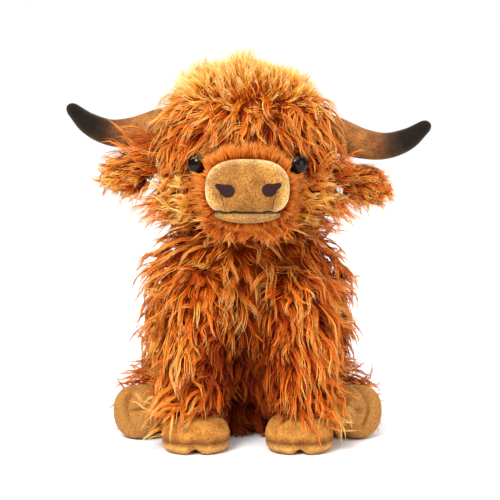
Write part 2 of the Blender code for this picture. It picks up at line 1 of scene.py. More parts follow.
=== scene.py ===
import math
import bpy
import numpy as np
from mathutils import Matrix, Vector


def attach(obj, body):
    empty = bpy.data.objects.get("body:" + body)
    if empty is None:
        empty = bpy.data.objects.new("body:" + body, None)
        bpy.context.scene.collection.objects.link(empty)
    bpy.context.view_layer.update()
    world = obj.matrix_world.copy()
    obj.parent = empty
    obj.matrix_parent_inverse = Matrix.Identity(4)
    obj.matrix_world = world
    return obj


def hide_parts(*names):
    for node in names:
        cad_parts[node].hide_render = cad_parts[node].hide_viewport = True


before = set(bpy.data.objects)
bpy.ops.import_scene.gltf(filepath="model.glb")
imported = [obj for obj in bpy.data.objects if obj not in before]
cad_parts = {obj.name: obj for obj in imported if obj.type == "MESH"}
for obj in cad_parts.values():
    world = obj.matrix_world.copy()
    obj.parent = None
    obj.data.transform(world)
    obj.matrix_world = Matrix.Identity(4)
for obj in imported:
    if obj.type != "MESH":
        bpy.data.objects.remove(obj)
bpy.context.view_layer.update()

mm = 0.001
scene = bpy.context.scene
sides = (("left", 1), ("right", -1))  # the toy's own left is at +x
down = np.array((0.0, 0.0, -1.0))
forward = np.array((0.0, -1.0, 0.0))


def unit(vectors):
    # each vector over its length
    return vectors / np.maximum(np.linalg.norm(vectors, axis=-1, keepdims=True), 1e-9)


def vectorsOf(x, y, z):
    # points from three arrays, or from arrays and plain numbers
    return np.stack(np.broadcast_arrays(x, y, z), -1)


def held(x, low, high):
    # 0 at low, 1 at high, in proportion between them and held beyond
    return np.clip((x - low) / (high - low), 0, 1)


def bell(x, width):
    # e to the power of minus the square of x over width: 1 at the middle, near 0 from two widths on
    return np.exp(-(x / width) ** 2)


def chosenOf(chosen, *arrays):
    return tuple(one[chosen] for one in arrays)


def axesOf(points):
    return points[..., 0], points[..., 1], points[..., 2]


def rgba(hexCode):
    # each pair of digits over 255, then the sRGB curve undone
    levels = np.array([int(hexCode[i:i + 2], 16) for i in (1, 3, 5)]) / 255
    return (*np.where(levels <= 0.04045, levels / 12.92, ((levels + 0.055) / 1.055) ** 2.4), 1)


def newMaterial(name, rough, gloss, sheen=0, sheenTint="#FFFFFF"):
    material = bpy.data.materials.new(name)
    material.use_nodes = True
    shader = material.node_tree.nodes["Principled BSDF"]
    settings = {"Roughness": rough, "Specular IOR Level": gloss, "Sheen Weight": sheen,
                "Sheen Roughness": 0.45, "Sheen Tint": rgba(sheenTint)}
    for key, value in settings.items():
        shader.inputs[key].default_value = value
    return material, material.node_tree, shader.inputs


def node(tree, kind, inputs=None, out=0, stops=(), **settings):
    # one node with its properties, its inputs (plain values, or sockets that are linked) and, on a colour
    # ramp, its (place, hex) stops; gives the output that is asked for
    made = tree.nodes.new("ShaderNode" + kind)
    for key, value in settings.items():
        setattr(made, key, value)
    for key, value in (inputs or {}).items():
        if isinstance(value, bpy.types.NodeSocket):
            tree.links.new(value, made.inputs[key])
        else:
            made.inputs[key].default_value = value
    while stops and len(made.color_ramp.elements) < len(stops):
        made.color_ramp.elements.new(0.5)
    for element, (place, hexCode) in zip(made.color_ramp.elements if stops else (), stops):
        element.position, element.color = place, rgba(hexCode)
    return made.outputs[out]


def addPiece(name, mesh, material, body=None, slot=None, replaced=(), fill=None):
    # mesh is points in mm, the corner list, where each face starts in it, and a UV pair for each point
    points, loops, starts, uv = mesh
    data = bpy.data.meshes.new(name)
    data.vertices.add(len(points))
    data.vertices.foreach_set("co", (points * mm).astype(np.float32).ravel())
    data.loops.add(len(loops))
    data.loops.foreach_set("vertex_index", loops.astype(np.int32))
    data.polygons.add(len(starts))
    data.polygons.foreach_set("loop_start", starts.astype(np.int32))
    data.polygons.foreach_set("use_smooth", np.full(len(starts), True))
    data.update(calc_edges=True)
    if uv is not None:
        layer = data.uv_layers.new(name="OFBake")
        layer.data.foreach_set("uv", uv[loops].astype(np.float32).ravel())
    data.materials.append(material)
    piece = bpy.data.objects.new(name, data)
    scene.collection.objects.link(piece)
    if body:
        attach(piece, body)
    if replaced:
        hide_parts(*replaced)
    return piece


def faceStarts(sizes):
    return np.concatenate(([0], np.cumsum(sizes)[:-1]))


def gridFaces(rows, columns, way=1):
    # corners of a tube of quads, rows along it and columns round it, closed by a fan of triangles at each
    # pole; way is 1 where the turn follows a right hand's fingers with its thumb along the tube, and else -1
    row, column = np.meshgrid(np.arange(rows - 1), np.arange(columns), indexing="ij")
    after = (column + way) % columns
    here, above = row * columns, (row + 1) * columns
    quads = np.stack((here + column, here + after, above + after, above + column), -1)
    ring = np.arange(columns)
    after = (ring + way) % columns
    last = (rows - 1) * columns
    low = np.stack((np.full(columns, rows * columns), after, ring), -1)
    high = np.stack((np.full(columns, rows * columns + 1), last + ring, last + after), -1)
    sizes = np.concatenate((np.full(quads.size // 4, 4), np.full(2 * columns, 3)))
    return np.concatenate((quads.ravel(), low.ravel(), high.ravel())), faceStarts(sizes)


def gridMap(columns, v):
    # UV of a tube's grid: the share of the turn and how far along, row by row, then its two poles
    turn, along = np.meshgrid(np.arange(columns) / columns, v)
    return np.concatenate((np.stack((turn.ravel(), along.ravel()), -1), [[0.5, 0], [0.5, 1]]))


def rowPlaces(rows):
    # from 0 to 1, closer together towards both ends: half of 1 less the cosine of an even turn
    return 0.5 - 0.5 * np.cos(np.pi * (np.arange(rows) + 0.5) / rows)


def closeEnds(v, caps):
    # 1 along a form, and down to 0 as a quarter circle over a share of its length at each end
    low, high = (np.sqrt(1 - (1 - np.clip(part, 0, 1)) ** 2) for part in (v / caps[0], (1 - v) / caps[1]))
    return low * high


def smoothRows(rows, at):
    # reads a table at any place of its first column: a cubic between two rows, whose slopes are the mean of
    # the steps beside them
    x, y = rows[:, 0], rows[:, 1:]
    step = np.diff(y, axis=0) / np.diff(x)[:, None]
    slope = np.vstack((step[:1], (step[1:] + step[:-1]) / 2, step[-1:]))
    i = np.clip(np.searchsorted(x, at, "right") - 1, 0, len(x) - 2)
    h = (x[i + 1] - x[i])[:, None]
    t = ((at - x[i]) / h[:, 0])[:, None]
    return ((2 * t**3 - 3 * t**2 + 1) * y[i] + (t**3 - 2 * t**2 + t) * h * slope[i]
            + (3 * t**2 - 2 * t**3) * y[i + 1] + (t**3 - t**2) * h * slope[i + 1])


def newForm(rows, caps, front=(0, -1, 0), side=(1, 0, 0), inset=0, power=1, shape=None):
    # a padded form: rows of (place along, x, y, z, half width, half depth) in mm; front and side are the
    # directions of its depth and width; inset is how far it lies inside the sewn solid, in mm
    return {"rows": np.array(rows, float), "caps": caps, "front": np.array(front, float),
            "side": np.array(side, float), "inset": inset, "power": power, "shape": shape}


def formPoints(form, u, v):
    # centre at v, plus cos of the turn u times the half width along side, plus sin times the half depth
    # along front; the power squares the ring, and the half sizes shrink to the ends as a quarter circle does
    rows = form["rows"]
    v = np.clip(v, 0, 1)
    row = smoothRows(rows, rows[0, 0] + v * (rows[-1, 0] - rows[0, 0]))
    close = closeEnds(v, form["caps"])
    turn = 2 * np.pi * u
    c, s = (np.sign(wave) * np.abs(wave) ** form["power"] for wave in (np.cos(turn), np.sin(turn)))
    points = (row[:, :3] + ((row[:, 3] - form["inset"]) * close * c)[:, None] * form["side"]
              + ((row[:, 4] - form["inset"]) * close * s)[:, None] * form["front"])
    return form["shape"](points) if form["shape"] else points


def formSteps(form, u, v, step):
    # how a point moves round the form and along it, from one step before to one after
    return (formPoints(form, u + step, v) - formPoints(form, u - step, v),
            formPoints(form, u, v + step) - formPoints(form, u, v - step))


def handOf(form):
    # 1 where side, front and the way along the form are right-handed, and else -1
    along = form["rows"][-1, 1:4] - form["rows"][0, 1:4]
    return int(np.sign(np.dot(np.cross(form["side"], form["front"]), along)))


def onSide(form, sign):
    # the form on the toy's left, and its mirror image on the right; there the turn runs the other way, so
    # the faces still point outwards
    if sign > 0:
        return form
    return {**form, "rows": form["rows"] * (1, -1, 1, 1, 1, 1),
            "side": form["side"] * (1, -1, -1), "front": form["front"] * (-1, 1, 1)}


def addForm(name, form, fill, rows=48, columns=64, **about):
    # the whole form as a mesh, with its poles last; a backing cloth under long pile unless about says more
    v = rowPlaces(rows)
    uv = gridMap(columns, v)
    points = formPoints(form, uv[:, 0] * (np.arange(len(uv)) < rows * columns), uv[:, 1])
    about = {"material": backing, "slot": "long_pile_fur", **about}
    return addPiece(name, (points, *gridFaces(rows, columns, handOf(form)), uv), fill=fill, **about)


evenRatios = (0.7548776662, 0.5698402910)  # 1 over the plastic number, and its square


def scatter(form, count, shift):
    # even spread over a form: pairs that step on by two ratios, each turned into (u, v) through the running
    # sum of the area; gives points and outward normals (the cross of the steps round and along)
    cells, small = 96, 1e-3
    edges = np.arange(cells + 1) / cells
    places = (np.arange(cells) + 0.5) / cells
    v, u = np.meshgrid(places, places, indexing="ij")
    area = np.linalg.norm(np.cross(*formSteps(form, u.ravel(), v.ravel(), 0.4 / cells)), axis=1)
    area = area.reshape(cells, cells)
    first, second = ((0.5 + shift + ratio * np.arange(count)) % 1 for ratio in evenRatios)
    bands = np.concatenate(([0], np.cumsum(area.sum(axis=1))))
    v = np.interp(first * bands[-1], bands, edges)
    band = np.minimum((v * cells).astype(int), cells - 1)
    sums = np.concatenate((np.zeros((cells, 1)), np.cumsum(area, axis=1)), axis=1)
    sums /= sums[:, -1:]
    u = np.empty(count)
    for one in np.unique(band):
        here = band == one
        u[here] = np.interp(second[here], sums[one], edges)
    around, along = formSteps(form, u, np.clip(v, 2 * small, 1 - 2 * small), small)
    return formPoints(form, u, v), unit(np.cross(around, along) * handOf(form))


strand = {"corners": 3, "rootWidth": 0.75, "swell": 2, "tipPower": 1.6, "toneStep": 0.012}


def strandMesh(paths, widths, tones):
    # each strand is a three-sided tapered tube: corners at thirds of a turn about the path, as wide as its
    # width times the root of what is left of its length, closed at the root and drawn to a point; u is the
    # tone, v goes root to tip
    count, steps = paths.shape[:2]
    rings, corners = steps - 1, strand["corners"]
    along = unit(np.gradient(paths, axis=1))
    hint = np.broadcast_to(np.array((0.31, 0.17, 0.94)), along.shape)  # any slanting line
    first = unit(np.cross(along, hint))
    second = np.cross(along, first)
    s = np.linspace(0, 1, steps)
    left = s[:rings]
    taper = np.minimum(1, strand["rootWidth"] + strand["swell"]
                       * left) * np.sqrt(1 - left ** strand["tipPower"])
    radius = 0.5 * widths[:, None] * taper[None, :]
    turn = (2 * np.pi * np.arange(corners) / corners)[None, None, :, None]
    ring = np.cos(turn) * first[:, :rings, None, :] + np.sin(turn) * second[:, :rings, None, :]
    points = paths[:, :rings, None, :] + radius[:, :, None, None] * ring
    each = rings * corners + 1
    points = np.concatenate((points.reshape(count, each - 1, 3), paths[:, -1:, :]), axis=1)
    uv = np.empty((count, each, 2))
    shades = np.append(np.tile(np.arange(corners) - 1, rings), 0)
    uv[:, :, 0] = tones[:, None] + strand["toneStep"] * shades[None, :]
    uv[:, :, 1] = np.append(np.repeat(left, corners), 1)[None, :]
    ring, side = np.meshgrid(np.arange(rings - 1), np.arange(corners), indexing="ij")
    here, after = ring * corners, (side + 1) % corners
    quads = np.stack((here + side, here + after, here + corners + after, here + corners + side), -1)
    side = np.arange(corners)
    last = (rings - 1) * corners
    tips = np.stack((last + side, last + (side + 1) % corners, np.full(corners, each - 1)), -1)
    loops = np.concatenate((quads.ravel(), tips.ravel(), [2, 1, 0]))
    begin = faceStarts(np.concatenate((np.full(last, 4), np.full(corners + 1, 3))))
    starts = begin[None, :] + len(loops) * np.arange(count)[:, None]
    loops = loops[None, :] + each * np.arange(count)[:, None]
    return points.reshape(-1, 3), loops.ravel(), starts.ravel(), uv.reshape(-1, 2)


def swirl(points, reach, seed):
    # a slow, smooth field from -1 to 1: the mean of three sines along slanting lines, one turn in about
    # reach mm
    lines = np.random.default_rng(seed).normal(size=(3, 3))
    turns = points @ (unit(lines) * 2 * np.pi / reach).T + np.arange(3) * 2.1 + seed
    return np.sin(turns).mean(axis=1)


def pushOut(points, forms):
    # a point inside an upright form moves level from its middle line to its wall, but for those near its
    # two ends and near its middle line
    flat = points.reshape(-1, 3).copy()
    for form in forms:
        low, high = form["rows"][[0, -1], 0]
        row = smoothRows(form["rows"], np.clip(flat[:, 2], low, high))
        away = flat[:, :2] - row[:, :2]
        ratio = np.sqrt(((away / np.maximum(row[:, 3:5], 1)) ** 2).sum(axis=1))
        inside = (ratio < 1) & (ratio > 0.3) & (flat[:, 2] > low + 4) & (flat[:, 2] < high - 6)
        flat[inside, :2] = row[inside, :2] + away[inside] / ratio[inside, None]
    return flat.reshape(points.shape)


anyLock = {  # what a lock has unless its own look says otherwise; pairs are ranges of chance, as factors
    "longer": 1, "vary": 0.25, "lifts": (0.55, 1.45), "reaches": (0.72, 1.0),
    "waves": (0.7, 1.5), "steepness": (0.35, 1.3), "offSkin": 0.55, "bend": 1.4,
    "spreads": (0.7, 1.3), "flat": 0.35, "widths": (0.65, 1.25), "clump": 0.9, "closing": 1.6,
    "stray": 0.08, "strayTone": 0.26, "strandTone": 0.13, "ripple": 0.45, "rippleLength": 15,
    "floorGap": (0.9, 0.5), "ceiling": 302,  # mm
}


def growLocks(roots, normals, flows, look, seed, forms=()):
    # a lock's middle line leaves along the normal, bends over into the flow and then hangs, with a wave to
    # the side and a smaller one off the skin; its strands start in a flat patch about the root, lie side by
    # side and close at the tip
    look = {**anyLock, **look}
    rng = np.random.default_rng(seed)
    count, fine = len(roots), 24
    length = look["length"] * (1 + look["vary"] * rng.uniform(-1, 1, count)) * look["longer"]
    lift = np.broadcast_to(look["lift"], count) * rng.uniform(*look["lifts"], count)
    droop = np.broadcast_to(look["droop"], count)
    side = unit(np.cross(normals, flows))
    turn = rng.normal(0, look["stirred"], count)[:, None]
    flows = unit(flows * np.cos(turn) + side * np.sin(turn))
    side = unit(np.cross(normals, flows))
    s = (np.arange(fine) + 0.5) / fine
    waveLength = look["waveLength"] * rng.uniform(*look["waves"], count)
    steep = 2 * np.pi * look["wave"] * rng.uniform(*look["steepness"], count) / waveLength
    phase = rng.uniform(0, 2 * np.pi, count)[:, None]
    phase = phase + 2 * np.pi * s[None, :] * (length / waveLength)[:, None]
    grow = np.minimum(1, 0.35 + 1.8 * s)[None, :]
    bend = (1 - s)[None, :, None] ** look["bend"]
    way = (normals[:, None, :] * lift[:, None, None] * bend + flows[:, None, :]
           + down * droop[:, None, None] * s[None, :, None]
           + side[:, None, :] * (steep[:, None] * np.cos(phase) * grow)[:, :, None]
           + normals[:, None, :]
           * (look["offSkin"] * steep[:, None] * np.sin(phase + 0.9) * grow)[:, :, None])
    travel = np.cumsum(unit(way) * (length / fine)[:, None, None], axis=1)
    middle = np.concatenate((roots[:, None, :], roots[:, None, :] + travel), axis=1)
    middle = pushOut(middle, forms)
    across = unit(np.cross(np.gradient(middle, axis=1), normals[:, None, :] + 0.001))
    total = count * look["strands"]
    lock = np.repeat(np.arange(count), look["strands"])
    part = rng.uniform(*look["reaches"], total) ** 0.8
    at = np.clip(np.linspace(0, 1, look["steps"])[None, :] * part[:, None], 0, 1) * fine
    paths, sides = (between(line[lock], at) for line in (middle, across))
    t = (at / fine)[:, :, None]
    stray = (rng.uniform(0, 1, total) < look["stray"])[:, None, None]
    close = np.where(stray, 1 + t, 1 - look["clump"] * t ** look["closing"])
    spread = look["spread"] * rng.uniform(*look["spreads"], count)[lock]
    aside = (rng.uniform(-1, 1, total) * spread)[:, None, None]
    deep = (rng.uniform(-1, 1, total) * spread * look["flat"])[:, None, None]
    own = rng.uniform(0, 2 * np.pi, total)[:, None, None]
    ripples = (length[lock] / look["rippleLength"])[:, None, None]
    ripple = look["ripple"] * np.sin(own + 2 * np.pi * t * ripples)
    paths = (paths + sides * (aside * close + ripple * np.minimum(1, 2 * t))
             + normals[lock][:, None, :] * deep * close * np.minimum(1, 0.3 + 2 * t))
    widths = look["width"] * rng.uniform(*look["widths"], total)
    tones = np.broadcast_to(look["tone"], count) + rng.normal(0, look["toneVary"], count)
    tones = tones[lock] + rng.normal(0, look["strandTone"], total) + look["strayTone"] * stray[:, 0, 0]
    gap, more = look["floorGap"]
    paths[:, :, 2] = np.maximum(paths[:, :, 2], gap + more * rng.uniform(0, 1, total)[:, None])
    paths[:, :, 2] = np.minimum(paths[:, :, 2], look["ceiling"])
    return paths, widths, np.clip(tones, 0.03, 0.97)


def between(lines, at):
    # points of each line at places that are counted in its steps, in proportion between two of its points
    low = np.minimum(at.astype(int), lines.shape[1] - 2)
    share = (at - low)[:, :, None]
    line = np.arange(len(lines))[:, None]
    return lines[line, low] * (1 - share) + lines[line, low + 1] * share


def cutShort(paths, clear):
    # a strand that runs into a clearing ends there: its points move up to the last free one, and what
    # starts inside is left out
    steps = paths.shape[1]
    blocked = np.zeros(paths.shape[:2], bool)
    for test in clear:
        blocked |= test(paths)
    free = np.where(blocked.any(axis=1), np.argmax(blocked, axis=1) - 1, steps - 1)
    at = np.linspace(0, 1, steps)[None, :] * np.maximum(free, 1)[:, None]
    return between(paths, at), free > 0.25 * steps


def joined(meshes):
    # one mesh of several: corner numbers move on by the points before, face starts by the corners before
    points, loops, starts, uv = zip(*meshes)
    pointsBefore = np.cumsum([0] + [len(one) for one in points])
    loopsBefore = np.cumsum([0] + [len(one) for one in loops])
    loops = [one + before for one, before in zip(loops, pointsBefore)]
    starts = [one + before for one, before in zip(starts, loopsBefore)]
    return tuple(np.concatenate(column) for column in (points, loops, starts, uv))


def furMaterial(name, *tones, rough=0.55):
    # pile: deep at the skin, partly as painted shade of the depth of the pile, clearer along the strand and
    # paler at its tip; tones are the stops from root to tip of the dark, the middle and the golden locks, or
    # one list for all
    material, tree, shader = newMaterial(name, rough, 0.12)
    tone = node(tree, "SeparateXYZ", {0: node(tree, "UVMap", uv_map="OFBake")})
    along = tone.node.outputs["Y"]
    low, middle, high = (node(tree, "ValToRGB", {0: along}, stops=stops)
                         for stops in (tones if len(tones) == 3 else tones * 3))
    share = node(tree, "MapRange", {0: tone, 1: 0.05, 2: 0.45})
    colour = node(tree, "Mix", {0: share, 6: low, 7: middle}, 2, data_type="RGBA")
    share = node(tree, "MapRange", {0: tone, 1: 0.5, 2: 0.95})
    colour = node(tree, "Mix", {0: share, 6: colour, 7: high}, 2, data_type="RGBA")
    tree.links.new(colour, shader["Base Color"])
    return material


longPile = furMaterial(
    "long pile acrylic fur",
    # the dark locks' stops are deepened to serve as painted shade where locks lie in hollows; they also give
    # darker locks at random
    ((0, "#360500"), (0.3, "#681600"), (0.7, "#9A3402"), (1, "#C86012")),
    ((0, "#661200"), (0.25, "#B03C00"), (0.65, "#E66C0C"), (1, "#FFAE50")),
    ((0, "#C05000"), (0.25, "#F8981E"), (0.6, "#FFC856"), (1, "#FFECAA")),
)
shortPile = furMaterial(
    "short pile muzzle fur",
    ((0, "#7A2200"), (0.4, "#A84402"), (1, "#C8620E")),
    ((0, "#9A3800"), (0.4, "#C85E08"), (1, "#E68C36")),
    ((0, "#B85202"), (0.4, "#E88420"), (1, "#FFBE6A")),
)
backing = furMaterial("dark backing cloth", ((0, "#6A2002"), (0.5, "#7E2A04"), (1, "#8C3206")), rough=0.9)
shortBacking = furMaterial("short pile cloth", ((0, "#8E3606"), (0.5, "#AC480A"), (1, "#BC560E")), rough=0.9)
print("materials ready")


def addFur(name, parts, body, clear=(), material=longPile, slot="long_pile_fur"):
    # joins grown locks into one piece, kept out of the clearings
    meshes = []
    for paths, widths, tones in parts:
        paths, keep = cutShort(paths, clear)
        meshes.append(strandMesh(paths[keep], widths[keep], tones[keep]))
    addPiece(name, joined(meshes), material, body, slot)


# forms: rows of (place along, x, y, z, half width, half depth) in mm, just inside the sewn solids
torsoForm = newForm(
    ((0, 0, 32, 0, 48, 45), (8, 0, 31.6, 8, 62, 62), (24, 0, 29.6, 24, 69.5, 70.5),
     (40, 0, 26.5, 40, 74.7, 72.4), (56, 0, 22.5, 56, 78.3, 71.5), (80, 0, 16.5, 80, 78.6, 69.1),
     (100, 0, 10.6, 100, 77.5, 65.7), (120, 0, 4.1, 120, 75, 61.3), (138, 0, -1.7, 138, 68.9, 55),
     (150, 0, -5.1, 150, 58.6, 46.5), (160, 0, -7, 160, 42, 34)),
    caps=(0.03, 0.05), inset=10,
)
headForm = newForm(
    ((172, 0, -27, 172, 40, 34), (178, 0, -27, 178, 54.5, 44), (184, 0, -27, 184, 60.6, 50),
     (195, 0, -27.4, 195, 65.5, 55.1), (208, 0, -27.7, 208, 66.9, 56.4),
     (220, 0, -27.8, 220, 66.3, 56.5), (232, 0, -27.6, 232, 64.5, 55.6), (245, 0, -27.3, 245, 61, 53.3),
     (258, 0, -26.7, 258, 55, 48.7), (268, 0, -26.2, 268, 47.6, 42.6), (276, 0, -25.6, 276, 38.6, 35),
     (284, 0, -25, 284, 25, 23)),
    caps=(0.06, 0.06), inset=5,
)
sleeveForm = newForm(
    ((0, 0, -62, 196.5, 30, 24), (12, 0, -74, 197.5, 34.5, 26), (24, 0, -86, 197.7, 34.8, 27),
     (36, 0, -98, 197.7, 33.4, 26.2), (46, 0, -108, 197.7, 30.5, 24), (51, 0, -113, 197.7, 28.5, 21.5)),
    front=(0, 0, 1), caps=(0.08, 0.05), inset=2.5, power=0.85,
)
forelegForm = newForm(
    ((0, 38.7, -76, 21, 17, 17), (8, 38.5, -74.7, 29, 20.5, 20.8), (15, 38.3, -73.1, 36, 21.2, 22.1),
     (29, 37.9, -69, 50, 22.3, 23.3), (44, 37.4, -64.4, 65, 22.9, 23.9), (59, 37, -59.9, 80, 23.1, 24.2),
     (74, 36.6, -55.6, 95, 22.8, 23.8), (89, 36.2, -51.8, 110, 21.4, 22.2),
     (99, 35.9, -49.7, 120, 19.2, 19.3), (113, 35.9, -48.8, 134, 8, 8)),
    caps=(0.08, 0.03), inset=3,
)
splay = math.radians(32)
hindOut = np.array((math.sin(splay), -math.cos(splay), 0))
hindAcross = np.array((math.cos(splay), math.sin(splay), 0))
hip = np.array((50, 18, 0))


def hindRow(travel, rise, half, high):
    # a row so many mm from the hip, out along the left hind leg
    return (travel, *(hip + travel * hindOut)[:2], rise, half, high)


hindlegForm = newForm(
    (hindRow(-33, 27, 6, 5), hindRow(-30, 27, 15.4, 11.4), hindRow(-20, 27, 26.2, 19.3),
     hindRow(-10, 27, 31, 22.8), hindRow(0, 27, 32.4, 24.1), hindRow(10, 26, 31.3, 24),
     hindRow(20, 24.2, 27.4, 22.7), hindRow(30, 22.3, 22.7, 20.5), hindRow(40, 21.2, 18.7, 18.4),
     hindRow(50, 20, 14, 14), hindRow(54, 20, 8, 8)),
    side=hindAcross, front=(0, 0, 1), caps=(0.03, 0.03), inset=3,
)


def tangent(ways, normals):
    # the ways without their part along the normals
    return unit(ways - (ways * normals).sum(axis=1, keepdims=True) * normals)


# torso: three pieces of fur on a dark backing cloth
torsoFur = {
    "length": 49, "lift": 1.2, "droop": 0.7, "waveLength": 40, "wave": 6.2, "spread": 3.0, "strands": 16,
    "width": 0.46, "tone": 0.47, "toneVary": 0.09, "stirred": 0.6, "stray": 0.14, "clump": 0.84,
    "closing": 1.2, "steps": 7,
}
underFur = {
    "length": 22, "lift": 0.8, "droop": 0.3, "waveLength": 18, "wave": 1.4, "spread": 5, "strands": 10,
    "width": 1.1, "tone": 0.26, "toneVary": 0.08, "stirred": 0.6, "clump": 0.4, "steps": 4,
}


def torsoLocks(count, look, where, seed):
    # locks fall and lean outwards from the middle line; low down they are shorter and lie flatter, and
    # painted shade darkens the chest towards its lower middle, between the forelegs
    roots, normals = scatter(torsoForm, count, 0.13)
    roots, normals = chosenOf(where(roots) & (roots[:, 2] > 9), roots, normals)
    x, y, z = axesOf(roots)
    aside, flank = np.clip(x / 35, -1, 1), np.abs(normals[:, 0])
    outward = vectorsOf(aside, np.clip((y - 15) / 60, -1, 1) * 0.4, 0)
    stir = 0.9 * swirl(roots, 60, 5)[:, None] * np.cross(normals, down)
    ways = down * (1 - 0.35 * np.abs(aside))[:, None] + 1.25 * outward + stir
    low = held(z, 40, 0)
    # painted shade: darker low in the middle of the chest
    shade = 0.9 * np.clip(1 - z / 130, 0, 1) * np.clip(1.6 - np.abs(x) / 24, 0, 1) * (y < 20)
    grown = {**look, "longer": (1 - 0.35 * low) * (1 - 0.16 * flank),
             "droop": look["droop"] * (1 - 0.75 * low) * (1 - 0.45 * np.abs(aside)),
             "lift": look["lift"] * (1 - 0.15 * flank),
             "tone": look["tone"] + 0.12 * swirl(roots, 55, 9) - shade}
    return growLocks(roots, normals, tangent(ways, normals), grown, seed, (torsoForm, headForm))


# clearings that hair stays out of, in mm
eyeRoom = {"x": 38.3, "z": 214.6, "halfWidth": 6.3, "halfHeight": 4.8, "behind": -62}
padRoom = {"z": 199.5, "halfWidth": 31, "halfHeight": 23, "behind": -106}
foreRoom = {"x": 39, "y": -78, "z": 8, "halfWidth": 25, "halfDepth": 23, "height": 22}
hindRoom = {"travel": 62, "z": 21, "halfLength": 18, "halfWidth": 18.5, "halfHeight": 20.5}
tailRoom = {"z": 60, "reaches": (0, 6, 14, 22), "depths": (89, 97, 102, 104.5), "top": 70,
            "halfWidth": 14, "flare": 0.8}
nodRoom = {"turns": (0, -12), "y": -8, "z": 165, "wider": 1.03}  # about the neck, degrees


def overEyes(paths):
    # points in front of an eye
    x, y, z = axesOf(paths)
    aside = (np.abs(x) - eyeRoom["x"]) / eyeRoom["halfWidth"]
    rise = (z - eyeRoom["z"]) / eyeRoom["halfHeight"]
    return (aside**2 + rise**2 < 1) & (y < eyeRoom["behind"])


def overPad(paths):
    # points in front of the nose pad or the lip
    x, y, z = axesOf(paths)
    aside, rise = x / padRoom["halfWidth"], (z - padRoom["z"]) / padRoom["halfHeight"]
    return (aside**4 + rise**4 < 1) & (y < padRoom["behind"])


def inHooves(paths):
    # points inside a hoof: half a ball over a short column in front, a rounded box behind
    x, y, z = axesOf(paths)
    x = np.abs(x)
    fore = (((x - foreRoom["x"]) / foreRoom["halfWidth"]) ** 2
            + ((y - foreRoom["y"]) / foreRoom["halfDepth"]) ** 2
            + (np.maximum(z - foreRoom["z"], 0) / foreRoom["height"]) ** 2 < 1)
    travel = (x - hip[0]) * hindOut[0] + (y - hip[1]) * hindOut[1] - hindRoom["travel"]
    aside = (x - hip[0]) * hindAcross[0] + (y - hip[1]) * hindAcross[1]
    hind = ((travel / hindRoom["halfLength"]) ** 4 + (aside / hindRoom["halfWidth"]) ** 2
            + ((z - hindRoom["z"]) / hindRoom["halfHeight"]) ** 2 < 1)
    return fore | hind


def overTail(paths):
    # points behind the rump where the tail hangs and swings: a fan about its root, as deep as the tail is
    # at that reach
    x, y, z = axesOf(paths)
    surface = np.interp(np.hypot(x, z - tailRoom["z"]), tailRoom["reaches"], tailRoom["depths"])
    beside = np.abs(x) < tailRoom["halfWidth"] + tailRoom["flare"] * np.maximum(tailRoom["z"] - z, 0)
    return (y > surface) & (z < tailRoom["top"]) & beside


def underHead(paths):
    # points that are in the head, as it rests or nodded forward about the neck
    rows = headForm["rows"]
    low, high = rows[[0, -1], 0]
    found = np.zeros(paths.shape[:-1], bool)
    x, back, up = axesOf(paths - np.array((0, nodRoom["y"], nodRoom["z"])))
    for turn in np.radians(nodRoom["turns"]):
        y = nodRoom["y"] + back * math.cos(turn) - up * math.sin(turn)
        z = nodRoom["z"] + back * math.sin(turn) + up * math.cos(turn)
        row = smoothRows(rows, np.clip(z, low, high).ravel()).reshape(*z.shape, -1)
        ratio = ((x - row[..., 0]) / row[..., 3]) ** 2 + ((y - row[..., 1]) / row[..., 4]) ** 2
        found |= (ratio < nodRoom["wider"]) & (z > low - 1)
    return found


def overShoulders(paths):
    # points low in front of the neck, where the forelegs swing
    return (paths[..., 1] < -18) & (paths[..., 2] < 147)


clearings = (overEyes, overPad, inHooves, overTail)
addForm("torso_backing", torsoForm, body="torso",
        replaced=("chest_panel", "back_panel_left", "back_panel_right", "torso_stuffing", "pellet_pouch"),
        fill=0.8)
seatForm = newForm(
    ((0, 0, 32, 0.2, 45, 42), (3, 0, 32, 3, 56, 55), (7, 0, 31.6, 7, 60, 60), (10, 0, 31.5, 10, 57, 57)),
    caps=(0.02, 0.15), inset=0.6,
)
addForm("seat_plush", seatForm, rows=24, columns=96, material=shortBacking, body="torso",
        slot="short_pile_fur", replaced=("seat_panel",), fill=0.8)


def onChest(points):
    return points[:, 1] < -20 + 0.25 * points[:, 2]


parts = {
    "chest_fur_upper": lambda p: onChest(p) & (p[:, 2] > 92),
    "chest_fur_lower": lambda p: onChest(p) & (p[:, 2] <= 92),
    "back_fur_left": lambda p: ~onChest(p) & (p[:, 0] >= 0),
    "back_fur_right": lambda p: ~onChest(p) & (p[:, 0] < 0),
}
for k, (name, where) in enumerate(parts.items()):
    count, under = (1120, 560) if name.startswith("chest") else (830, 740)
    look = torsoFur if name.startswith("chest") else {**torsoFur, "strands": 14}
    locks = [torsoLocks(count, look, where, 20 + k), torsoLocks(under, underFur, where, 30 + k)]
    addFur(name, locks, "torso", (*clearings, underHead))
print("torso ready")


# head: a crown that stands up, a forelock over the brow, and sides that fall away from the muzzle
headFur = {
    "length": 38, "lift": 0.9, "droop": 0.6, "waveLength": 24, "wave": 3.0, "spread": 2.0, "strands": 10,
    "width": 0.5, "tone": 0.5, "toneVary": 0.1, "stirred": 0.5, "stray": 0.18, "steps": 7, "top": 266,
}
crownFur = {
    "length": 25, "lift": 0.5, "droop": 0.0, "waveLength": 30, "wave": 2.6, "spread": 2.4, "strands": 9,
    "width": 0.4, "tone": 0.9, "toneVary": 0.1, "stirred": 0.3, "stray": 0.35, "clump": 0.7, "steps": 6,
}


